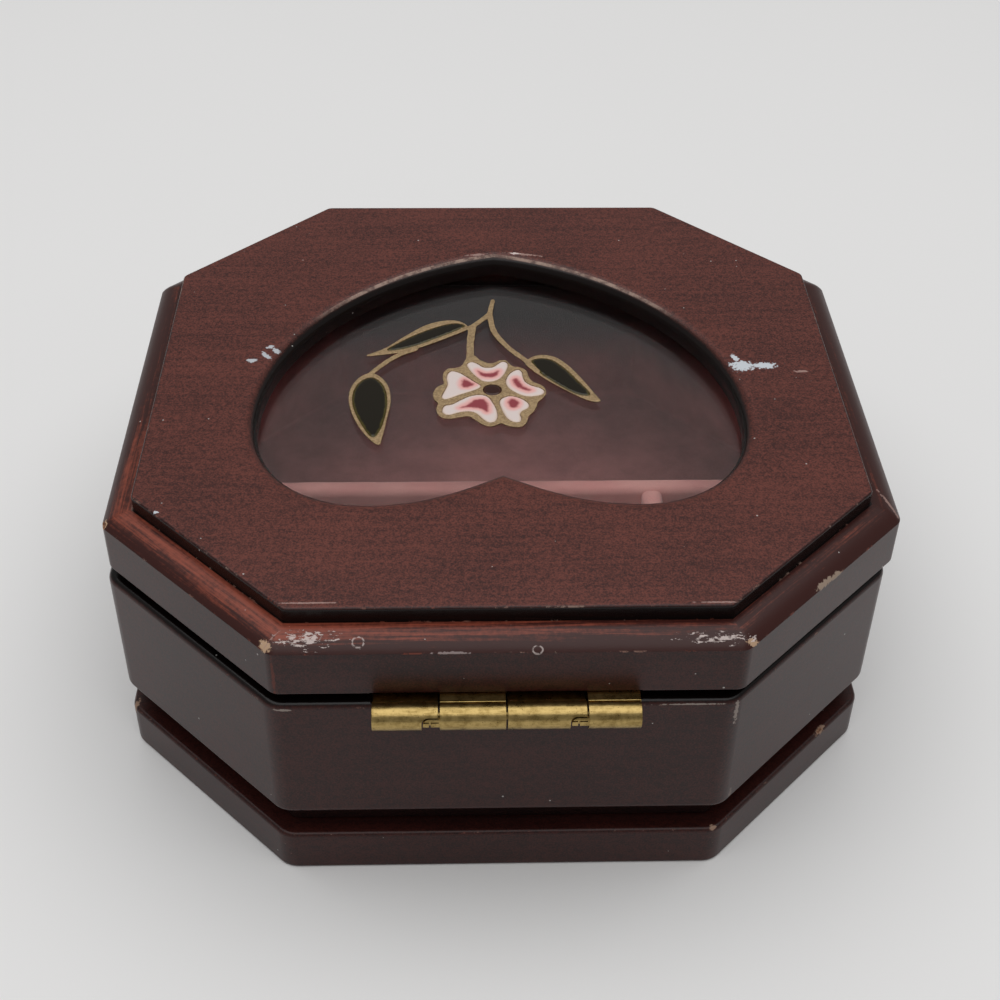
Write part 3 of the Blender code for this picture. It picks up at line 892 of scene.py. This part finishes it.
def makeHinge():
    h = hinge
    half, slack = h["length"] / 2, h["gap"] / 2
    spans = []
    high = half
    for length in h["knuckles"]:
        spans.append((high - length + slack, high - slack))
        high -= length
    own = {"base": spans[0::2], "lid": spans[1::2]}
    leafs = {}
    for body in own:
        section = rolledSection(body == "lid")
        low, high = section[1][1] + 0.01, section[0][1] - 0.01
        back, front = backY - h["leafWidth"] - axisPoint.y, backY - h["leafSetBack"] - axisPoint.y
        bm = bmesh.new()
        addRod(bm, [(back, high), (back, low), (front, low), (front, high)], -half, half, 0.12)
        leaf = finishMesh(body + "HingeLeaf", bm, brass, body, [f"hinge_{body}_leaf"], 40)
        for start, end in own[body]:
            bm = bmesh.new()
            addRod(bm, section, start, end, h["softEnd"])
            combine(leaf, finishMesh("knuckle", bm, brass), "UNION")
        bm = bmesh.new()
        addRod(bm, barrelArc(h["bore"], 0, 360)[:-1], -half - 1, half + 1, 0.1)
        combine(leaf, finishMesh("bore", bm, brass))
        leafs[body] = leaf

    play = math.degrees(h["gap"] / h["barrel"])
    width = h["stopWidth"]
    for (start, _), (_, reach) in zip(own["base"], own["lid"]):
        bottom = h["stopTop"] - h["stopAngle"] - h["opening"] - 2 * play
        end = start + width + h["gap"]
        notch = stopShape("notch", start - width, end, h["pin"] / 2, 2 * h["barrel"], bottom, h["stopTop"])
        combine(leafs["base"], notch)
        top = h["stopTop"] - play
        outer = h["barrel"] - slack
        tongue = stopShape("tongue", reach - width / 2, start + width, h["bore"] + slack, outer,
                           top - h["stopAngle"], top)
        # two fine cuts part the tongue like a T
        middle = start + width * 0.55
        for ends, low, high in (((start - 0.1, start + 3.0), 12.5, 18.0),
                                ((middle - 0.16, middle + 0.16), -20.0, 15.0)):
            combine(tongue, sectorMesh("cut", [(x, outer - 0.45, outer + 1.0, low, high) for x in ends]))
        combine(leafs["lid"], tongue, "UNION")
    for leaf in leafs.values():
        keepFlats(leaf)

    bm = bmesh.new()
    end = half - h["gap"]
    tips = [(end, 0.45), (end - 0.06, 0.72), (end - 0.25, h["pin"])]
    rod = [(-x, radius) for x, radius in tips] + tips[::-1]
    capped(bm, [alongAxis(bm, x, barrelArc(radius, 0, 360)[:-1]) for x, radius in rod], wholeEnds=True)
    finishMesh("hingePinRod", bm, brass, "base", ["hinge_pin"])


makeHinge()
print("hinge built")
makePlinth()
makeWalls()
print("base built")
makeLid()
print("lid built")


# Glass, kept from the frame

def makeGlass():
    material, shader = newMaterial("clearGlass", Roughness=0.0, IOR=1.5, Transmission_Weight=1.0)
    shader.inputs["Base Color"].default_value = (0.97, 0.98, 0.98, 1.0)
    return material


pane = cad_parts["window_glass"]
pane.data.materials.clear()
pane.data.materials.append(makeGlass())


# Velvet

velvetLook = {
    "deep": (0.47, 0.165, 0.16),
    "light": (0.74, 0.285, 0.265),
    "shaded": (0.048, 0.025, 0.026),         # painted shade on the upright sides, darker higher up
    "shadedFrom": (16.0, 36.0),              # heights over which the painted shade comes in
    # the dividers' velvet, painted lighter than the lining's for the light they catch through the window
    "litVelvetDeep": (0.90, 0.36, 0.33),
    "litVelvetLight": (1.0, 0.48, 0.43),
    "sheen": (0.9, 0.68, 0.68),
}


def makeVelvet(name, deep, light, shadedFrom=None):
    material, shader = newMaterial(name, Roughness=0.9, Sheen_Weight=0.6, Sheen_Roughness=0.4)
    shader.inputs["Sheen Tint"].default_value = (*velvetLook["sheen"], 1.0)
    point = pointMm(material)
    nap = point.noise(0.09, 3.0, 0.6)
    pile = point.noise(5.0, 2.0, 0.6)
    colour = (nap * 0.6 + pile * 0.4).ease(0.3, 0.7).mix(deep, light)
    # painted shade, darker higher up the sides
    if shadedFrom:
        colour = point.parts()[2].ease(*shadedFrom).mix(colour, velvetLook["shaded"])
    wire(shader, [(pile, 0.25, 0.6), (nap, 0.8, 0.3)], Base_Color=colour)
    return material


velvet = makeVelvet("mauveVelvet", velvetLook["deep"], velvetLook["light"], velvetLook["shadedFrom"])
# lighter velvet for the dividers, a painted stand-in for the light through the window
litVelvet = makeVelvet("litVelvet", velvetLook["litVelvetDeep"], velvetLook["litVelvetLight"])
liningSizes = {
    "thickness": 1.2,
    "corner": 5.0,
    "foldRadius": 0.9,        # between floor and sides
    "floorRings": 16,
    "sag": 0.12,              # unevenness of the floor
}


def makeLining():
    s = liningSizes
    outside = liningLow.x - (baseMiddle.x - boxWidth / 2)
    inside = -outside - s["thickness"]
    rounding = s["thickness"] / 2
    top, floor = liningHigh.z, liningLow.z + s["thickness"]
    profile = [(-outside, liningLow.z)]
    profile += roundEdge(-outside - rounding, top - rounding, rounding, 0, 180, 8)
    profile += [(inside, floor + (top - floor) * share) for share in (0.8, 0.6, 0.4, 0.2)]
    fold = s["foldRadius"]
    profile += roundEdge(inside - fold, floor + fold, fold, 0, -90)
    bm = bmesh.new()
    loops = octagonLoops(bm, baseMiddle, s["corner"], profile)
    edge = [Vector(v.co) for v in loops[-1]]
    middle = Vector((baseMiddle.x, baseMiddle.y, floor))
    for ring in range(1, s["floorRings"]):
        share = 1 - ring / s["floorRings"]
        points = []
        for p in edge:
            q = middle + (p - middle) * share
            wave = noise.noise(Vector((q.x * 0.09, q.y * 0.09, 3.0)))
            points.append((q.x, q.y, floor + s["sag"] * wave))
        loops.append(addLoop(bm, points))
    capped(bm, loops)
    finishMesh("velvetLining", bm, velvet, "base", ["velvet_lining"])


def makeDivider(node, name, alongX):
    # a velvet strip with soft top edges and a slightly uneven crest
    low, high = boxOf(node)
    half = (high.y - low.y if alongX else high.x - low.x) / 2
    start, end = (low.x, high.x) if alongX else (low.y, high.y)
    centre = (low + high) / 2
    radius = 0.75 * half
    section = [(-half, low.z), (half, low.z), (half, (low.z + high.z) / 2)]
    section += roundEdge(half - radius, high.z - radius, radius, 0, 90)
    section += roundEdge(radius - half, high.z - radius, radius, 90, 180)
    section.append((-half, (low.z + high.z) / 2))
    steps = max(8, round((end - start) / 2.5))
    bm = bmesh.new()
    loops = []
    for i in range(steps + 1):
        at = start + (end - start) * i / steps
        points = []
        for across, z in section:
            dip = 0.10 * (0.5 + 0.5 * noise.noise(Vector((at * 0.25, across, z * 0.2)))) if z > low.z + 1 else 0
            squeeze = across * (1 - 0.6 * dip / half)
            x, y = (at, centre.y + squeeze) if alongX else (centre.x + squeeze, at)
            points.append((x, y, z - dip))
        loops.append(addLoop(bm, points))
    capped(bm, loops, wholeEnds=True)
    finishMesh(name, bm, litVelvet, "base", [node])


makeLining()
makeDivider("long_divider", "longDivider", True)
makeDivider("short_divider", "shortDivider", False)
print("velvet built")


# Painted sprig on the glass: points are from the lid's middle, +X to the left as one faces the hinge

sprig = {
    "lineHeight": 0.34,
    "enamelHeight": 0.24,
    "enamelEdge": 0.45,       # width over which the enamel rises
    "voxel": 0.11,
    "goldDeep": (0.25, 0.162, 0.078),
    "goldLight": (0.45, 0.315, 0.168),
    "leafColours": [(0.075, 0.060, 0.012), (0.009, 0.0065, 0.0022)],
    "petalColours": [(0.70, 0.56, 0.48), (0.70, 0.60, 0.57), (0.78, 0.40, 0.37), (0.27, 0.050, 0.062)],
    "centreColours": [(0.055, 0.018, 0.012), (0.032, 0.010, 0.007)],
}
# each stem is its width at the start and at the end, then its points
stems = {
    "stem": (1.0, 1.35, [(0.4, -36.1), (1.0, -32.4), (1.4, -29.2)]),
    "leftBranch": (1.3, 1.1, [(1.2, -30.4), (3.4, -27.6), (5.6, -25.0), (7.6, -24.2)]),
    "flowerStem": (1.7, 1.6, [(5.2, -25.4), (5.6, -20.9), (5.8, -17.3), (5.8, -14.7), (6.1, -11.6)]),
    "rightBranch": (1.3, 1.25, [(1.2, -29.6), (0.7, -24.5), (-0.5, -20.8), (-3.0, -16.2), (-6.4, -11.6),
                                (-8.6, -7.6)]),
    "twig": (1.4, 1.05, [(17.6, -16.7), (20.4, -15.0), (23.3, -12.4), (26.4, -8.4), (27.4, -6.6)]),
}
# each leaf is the gold's outline, then the enamel inside it
leaves = {
    "upperLeaf": ([(6.2, -24.6), (7.9, -27.4), (11.4, -27.8), (15.6, -26.0), (20.0, -21.8), (24.4, -17.0),
                   (28.4, -14.1), (24.0, -14.6), (19.0, -16.0), (14.4, -18.6), (9.6, -21.8)],
                  [(6.9, -25.6), (9.2, -26.7), (13.0, -25.3), (17.4, -22.5), (21.2, -19.3), (24.0, -16.3),
                   (21.4, -16.3), (17.6, -17.9), (13.4, -20.6), (9.4, -23.3)]),
    "lowerLeaf": ([(27.4, -7.5), (29.9, -5.4), (31.4, -1.0), (31.2, 4.2), (29.4, 10.4), (26.8, 15.4),
                   (24.6, 17.6), (23.9, 14.6), (23.2, 8.8), (22.6, 3.0), (23.2, -2.4), (25.0, -6.1)],
                  [(27.3, -5.9), (29.4, -4.2), (30.6, -0.4), (30.4, 4.4), (28.8, 9.7), (26.2, 15.0),
                   (24.6, 12.9), (23.6, 7.4), (23.4, 2.2), (24.1, -2.2), (25.6, -5.0)]),
    "rightLeaf": ([(-6.0, -11.3), (-8.6, -13.9), (-12.2, -13.5), (-15.2, -10.2), (-18.0, -4.9),
                   (-20.2, 0.2), (-21.3, 3.1), (-18.6, 2.7), (-14.4, -0.8), (-10.6, -4.5), (-7.4, -8.4)],
                  [(-7.4, -11.6), (-9.6, -12.8), (-12.0, -12.0), (-14.4, -9.0), (-16.7, -4.9), (-19.3, 0.6),
                   (-16.4, 0.5), (-12.4, -3.3), (-9.0, -7.4)]),
}
flower = {
    "bed": [(6.9, -12.3), (7.8, -10.0), (9.1, -9.2), (10.6, -9.0), (11.6, -7.5), (11.8, -5.4), (11.6, -3.4),
            (13.0, -2.2), (13.8, 0.0), (13.6, 2.1), (12.8, 3.6), (13.1, 5.5), (12.8, 7.4), (11.9, 8.6),
            (10.3, 9.0), (8.2, 8.5), (6.4, 8.2), (5.1, 9.4), (3.6, 11.0), (2.0, 11.7), (0.7, 11.2),
            (-0.3, 10.6), (-1.4, 11.4), (-3.0, 11.9), (-4.6, 11.7), (-5.6, 10.2), (-6.0, 8.3), (-7.0, 6.9),
            (-7.8, 5.0), (-8.2, 3.3), (-9.2, 2.0), (-10.0, 0.2), (-9.8, -1.8), (-8.8, -3.0), (-7.4, -4.0),
            (-6.6, -5.8), (-6.2, -8.0), (-4.9, -9.3), (-3.4, -9.7), (-2.6, -10.7), (-1.9, -11.9),
            (-0.5, -12.0), (0.6, -11.2), (1.7, -10.9), (2.8, -11.5), (3.9, -12.4), (4.7, -13.7),
            (5.8, -13.9)],
    "centre": (1.3, -1.1, 2.0, 2.0),       # its place, half width and half length
    "petals": [               # each is its outline, then its blush
        ([(6.6, -10.3), (6.1, -11.4), (5.1, -11.5), (4.0, -10.6), (2.8, -9.5), (1.1, -9.6), (0.1, -10.6),
          (-0.9, -11.6), (-1.9, -11.4), (-2.3, -10.4), (-2.0, -8.7), (-1.2, -6.5), (-0.1, -4.9),
          (1.5, -4.1), (3.2, -4.3), (4.4, -5.7), (5.6, -7.6)],
         [(4.4, -8.3), (3.1, -7.4), (1.7, -7.2), (-0.3, -8.2), (0.0, -6.5), (1.2, -5.5), (3.2, -5.7),
          (4.0, -6.8)]),
        ([(10.6, -7.5), (9.7, -8.2), (8.1, -7.5), (6.6, -6.0), (5.1, -4.3), (3.7, -2.8), (4.3, -1.6),
          (6.1, -0.5), (8.4, 0.7), (10.2, 1.8), (11.4, 2.2), (12.0, 1.2), (11.5, -0.7), (10.8, -3.2),
          (11.0, -5.6)],
         [(7.4, -5.1), (6.1, -4.3), (4.9, -3.1), (6.1, -2.1), (7.5, -1.9), (7.9, -3.4)]),
        ([(11.9, 6.0), (11.4, 4.4), (9.8, 3.8), (8.0, 2.3), (6.1, 1.0), (4.1, 0.5), (2.4, 1.1), (1.4, 3.0),
          (0.6, 5.6), (0.4, 8.2), (1.0, 10.0), (2.3, 10.3), (3.4, 9.2), (4.7, 7.3), (6.2, 6.5), (8.3, 6.8),
          (10.5, 7.7), (11.6, 7.1)],
         [(8.4, 5.4), (6.4, 3.8), (5.0, 2.3), (3.2, 2.2), (2.3, 3.7), (2.1, 6.2), (2.7, 7.0), (3.9, 5.8),
          (5.9, 5.3)]),
        ([(-0.1, 3.0), (-0.8, 1.7), (-2.4, 1.0), (-4.2, 1.6), (-5.6, 2.8), (-6.3, 4.2), (-5.9, 5.5),
          (-4.8, 6.4), (-4.3, 7.4), (-4.5, 8.9), (-4.1, 10.2), (-2.8, 10.2), (-1.6, 9.0), (-0.8, 6.9),
          (-0.3, 4.9)],
         [(-1.8, 3.2), (-2.6, 2.1), (-3.8, 2.5), (-4.3, 3.7), (-3.7, 5.2), (-2.5, 5.6), (-1.9, 4.4)]),
        ([(-1.6, -4.0), (-2.1, -6.3), (-3.2, -8.0), (-4.4, -8.6), (-5.2, -7.7), (-5.4, -5.7), (-5.9, -4.0),
          (-7.2, -2.7), (-8.8, -1.9), (-9.7, -0.7), (-9.2, 0.6), (-7.2, 1.3), (-5.4, 1.1), (-3.7, 0.0),
          (-2.2, -1.8)],
         [(-3.1, -4.8), (-4.0, -5.5), (-4.7, -3.9), (-5.8, -2.0), (-7.2, -1.1), (-6.3, -0.4), (-4.7, -1.3),
          (-3.4, -2.7)]),
    ],
}


def curveRun(a, b, c, d, steps):
    # points from b to c on a smooth curve through all four
    shares = [step / steps for step in range(steps)]
    return [0.5 * (2 * b + (c - a) * t + (2 * a - 5 * b + 4 * c - d) * t * t + (3 * b - a - 3 * c + d) * t ** 3)
            for t in shares]


def smoothClosed(points, steps=6):
    count = len(points)
    curve = []
    for i in range(count):
        curve += curveRun(*[Vector(points[(i + k - 1) % count]) for k in range(4)], steps)
    return anticlockwise(curve)


def smoothOpen(points, steps=10):
    ends = [2 * Vector(points[0]) - Vector(points[1])] + [Vector(p) for p in points]
    ends.append(2 * Vector(points[-1]) - Vector(points[-2]))
    curve = []
    for a, b, c, d in zip(ends, ends[1:], ends[2:], ends[3:]):
        curve += curveRun(a, b, c, d, steps)
    curve.append(ends[-2])
    return curve


def anticlockwise(points):
    area = sum(a[0] * b[1] - b[0] * a[1] for a, b in zip(points, points[1:] + points[:1]))
    return points if area > 0 else points[::-1]


def onGlass(point, height=0.0):
    return (lidMiddle.x + point[0], lidMiddle.y + point[1], paneTop + height)


def addSlab(bm, outer, holes, height):
    # a raised flat shape with holes, standing on the glass
    levels = []
    for z in (0.02, height):
        loops = [[bm.verts.new(onGlass(p, z)) for p in loop] for loop in [outer] + holes]
        fillFlat(bm, *loops)
        levels.append(loops)
    for lower, upper in zip(*levels):
        bridge(bm, lower, upper)


def strokeOutline(points, startWidth, endWidth):
    # the outline of a brush stroke along a curve, with round ends
    left, right = [], []
    last = len(points) - 1
    for i, p in enumerate(points):
        before, after = points[max(i - 1, 0)], points[min(i + 1, last)]
        way = (after - before).normalized()
        width = startWidth + (endWidth - startWidth) * i / last
        wobble = 0.14 * noise.noise(Vector((p.x * 0.8, p.y * 0.8, 1.0)))
        side = Vector((-way.y, way.x)) * width / 2 * (1 + wobble)
        left.append(p + side)
        right.append(p - side)
    tip = (points[-1] - points[-2]).normalized() * endWidth * 0.4
    tail = (points[0] - points[1]).normalized() * startWidth * 0.4
    return anticlockwise(left + [points[-1] + tip] + right[::-1] + [points[0] + tail])


def centreRing(sides=24):
    x, y, a, b = flower["centre"]
    angles = [2 * math.pi * k / sides for k in range(sides)]
    return [Vector((x + a * math.cos(t), y + b * math.sin(t))) for t in angles]


def makeGoldLines():
    bm = bmesh.new()
    height = sprig["lineHeight"]
    for startWidth, endWidth, points in stems.values():
        addSlab(bm, strokeOutline(smoothOpen(points), startWidth, endWidth), [], height)
    for leaf, fill in leaves.values():
        addSlab(bm, smoothClosed(leaf), [smoothClosed(fill)], height * 0.97)
    holes = [smoothClosed(petal) for petal, _ in flower["petals"]]
    addSlab(bm, smoothClosed(flower["bed"]), holes + [centreRing()], height * 1.03)
    material, shader = newMaterial("goldPaint", Metallic=0.35)
    point = pointMm(material)
    grain = point.noise(2.2, 4.0, 0.7)
    flakes = point.noise(9.0, 2.0, 0.6)
    colour = grain.ease(0.35, 0.65).mix(sprig["goldDeep"], sprig["goldLight"])
    rough = flakes.ease(0.3, 0.7, 0.38, 0.62)
    wire(shader, [(flakes, 0.04, 0.5), (grain, 0.12, 0.5)], Base_Color=colour, Roughness=rough)
    lines = finishMesh("goldLines", bm, material, "lid")
    # melts the strokes into one raised line
    remesh = lines.modifiers.new("flow", "REMESH")
    remesh.mode = "VOXEL"
    remesh.voxel_size = sprig["voxel"] * mm
    remesh.use_smooth_shade = True
    soften = lines.modifiers.new("soften", "SMOOTH")
    soften.factor = 0.5
    soften.iterations = 3


def depthIn(point, ring):
    # how deep a point lies inside a closed outline, negative outside
    inside, nearest = False, 1e9
    for a, b in zip(ring, ring[1:] + ring[:1]):
        if (a.y > point.y) != (b.y > point.y) and point.x < a.x + (point.y - a.y) / (b.y - a.y) * (b.x - a.x):
            inside = not inside
        way = b - a
        t = max(0.0, min(1.0, (point - a).dot(way) / max(way.length_squared, 1e-9)))
        nearest = min(nearest, (point - a - way * t).length)
    return nearest if inside else -nearest


def domePatch(bm, layer, ring, blush, spacing):
    # a thin drop of enamel; each point keeps its depth in the outline and in the blush
    points = list(ring)
    low = Vector((min(p.x for p in ring), min(p.y for p in ring)))
    high = Vector((max(p.x for p in ring), max(p.y for p in ring)))
    depths = [0.0] * len(ring)
    for row in range(int((high.y - low.y) / spacing) + 1):
        for column in range(int((high.x - low.x) / spacing) + 1):
            q = low + Vector((column + 0.5 * (row % 2), row)) * spacing
            depth = depthIn(q, ring)
            if depth > 0.5 * spacing:
                points.append(q)
                depths.append(depth)
    edge = [(i, (i + 1) % len(ring)) for i in range(len(ring))]
    flat, _, faces, source, _, _ = geometry.delaunay_2d_cdt(points, edge, [], 1, 1e-5)
    top = []
    for q, origins in zip(flat, source):
        depth = depths[origins[0]] if origins else 0.0
        share = min(depth / sprig["enamelEdge"], 1.0)
        v = bm.verts.new(onGlass(q, 0.10 + sprig["enamelHeight"] * math.sqrt(1 - (1 - share) ** 2)))
        v[layer] = (depth, depthIn(q, blush) if blush else -9.0, 0.0)
        top.append(v)
    for face in faces:
        bm.faces.new([top[i] for i in face])
    where = {origins[0]: v for v, origins in zip(top, source) if origins}
    rim = [where[i] for i in range(len(ring))]
    base = [bm.verts.new(onGlass(q, 0.02)) for q in ring]
    bridge(bm, base, rim)
    fillFlat(bm, base)


def makeEnamel(name, patches, colours, spacing):
    # colours run from the edge inwards; petals have two more for their blush
    material, shader = newMaterial(name + "Enamel", Roughness=0.14, IOR=1.36)
    attribute = addNode(material.node_tree, "ShaderNodeAttribute", attribute_name="tone")
    inward, blush, _ = Field(attribute.outputs["Vector"]).parts()
    point = pointMm(material)
    wobble = (point.noise(0.9, 3.0) - 0.5) * 0.7
    colour = (inward + wobble).ease(0.10, 0.65).mix(colours[0], colours[1])
    if len(colours) > 2:
        colour = (blush + wobble).ease(-1.4, 0.0).mix(colour, colours[2])
        colour = (blush + wobble).ease(-0.25, 0.55).mix(colour, colours[3])
    wire(shader, [(point.noise(1.4, 3.0), 0.06, 0.25)], Base_Color=colour)
    bm = bmesh.new()
    layer = bm.verts.layers.float_vector.new("tone")
    for ring, blushRing in patches:
        domePatch(bm, layer, ring, blushRing, spacing)
    finishMesh(name, bm, material, "lid", (), 60)


makeGoldLines()
leafPatches = [(smoothClosed(fill), None) for _, fill in leaves.values()]
petalPatches = [(smoothClosed(petal), smoothClosed(blush, 3)) for petal, blush in flower["petals"]]
makeEnamel("leafEnamel", leafPatches, sprig["leafColours"], 0.45)
makeEnamel("petalEnamel", petalPatches, sprig["petalColours"], 0.24)
makeEnamel("centreEnamel", [(centreRing(), None)], sprig["centreColours"], 0.4)
print("sprig painted")


# Floor, light and camera

studio = {
    "floor": (0.83, 0.827, 0.825),
    "sky": (1.0, 0.995, 0.985),
    "skyStrength": 0.28,
    "softbox": (0.0, 0.06, 1.3),     # metres
    "softboxWidth": 2.2,             # metres
    "softboxPower": 17.2,            # watts
}
photoCamera = {
    "place": (8.64, 266.26, 253.52),
    "down": 0.8786,           # radians from straight down
    "turn": math.pi - 0.0360,
    "roll": 0.0158,
    "lens": 56.55,            # for a sensor 36 wide
}


def makeFloor():
    bm = bmesh.new()
    bmesh.ops.create_grid(bm, x_segments=2, y_segments=2, size=3000)
    material, shader = newMaterial("paperFloor", Roughness=0.85)
    tone = pointMm(material).noise(0.004, 2.0)
    lighter = tuple(value * 1.03 for value in studio["floor"])
    wire(shader, [], Base_Color=tone.mix(studio["floor"], lighter))
    finishMesh("floor", bm, material)


def makeLights():
    world = bpy.data.worlds.new("studio")
    bpy.context.scene.world = world
    world.use_nodes = True
    sky = world.node_tree.nodes["Background"]
    sky.inputs["Color"].default_value = (*studio["sky"], 1.0)
    sky.inputs["Strength"].default_value = studio["skyStrength"]
    lamp = bpy.data.lights.new("softbox", "AREA")
    lamp.shape = "DISK"
    lamp.size = studio["softboxWidth"]
    lamp.energy = studio["softboxPower"]
    softbox = bpy.data.objects.new("softbox", lamp)
    softbox.location = studio["softbox"]
    bpy.context.collection.objects.link(softbox)


def makeCamera():
    c = photoCamera
    data = bpy.data.cameras.new("photoCamera")
    data.sensor_width = 36.0
    data.lens = c["lens"]
    data.clip_start = 0.01
    camera = bpy.data.objects.new("photoCamera", data)
    turn = Matrix.Rotation(c["turn"], 4, "Z") @ Matrix.Rotation(c["down"], 4, "X")
    turn = turn @ Matrix.Rotation(c["roll"], 4, "Z")
    camera.matrix_world = Matrix.Translation(Vector(c["place"]) * mm) @ turn
    bpy.context.collection.objects.link(camera)
    bpy.context.scene.camera = camera


makeFloor()
makeLights()
makeCamera()
bpy.context.scene.view_settings.view_transform = "Standard"
print("studio ready")
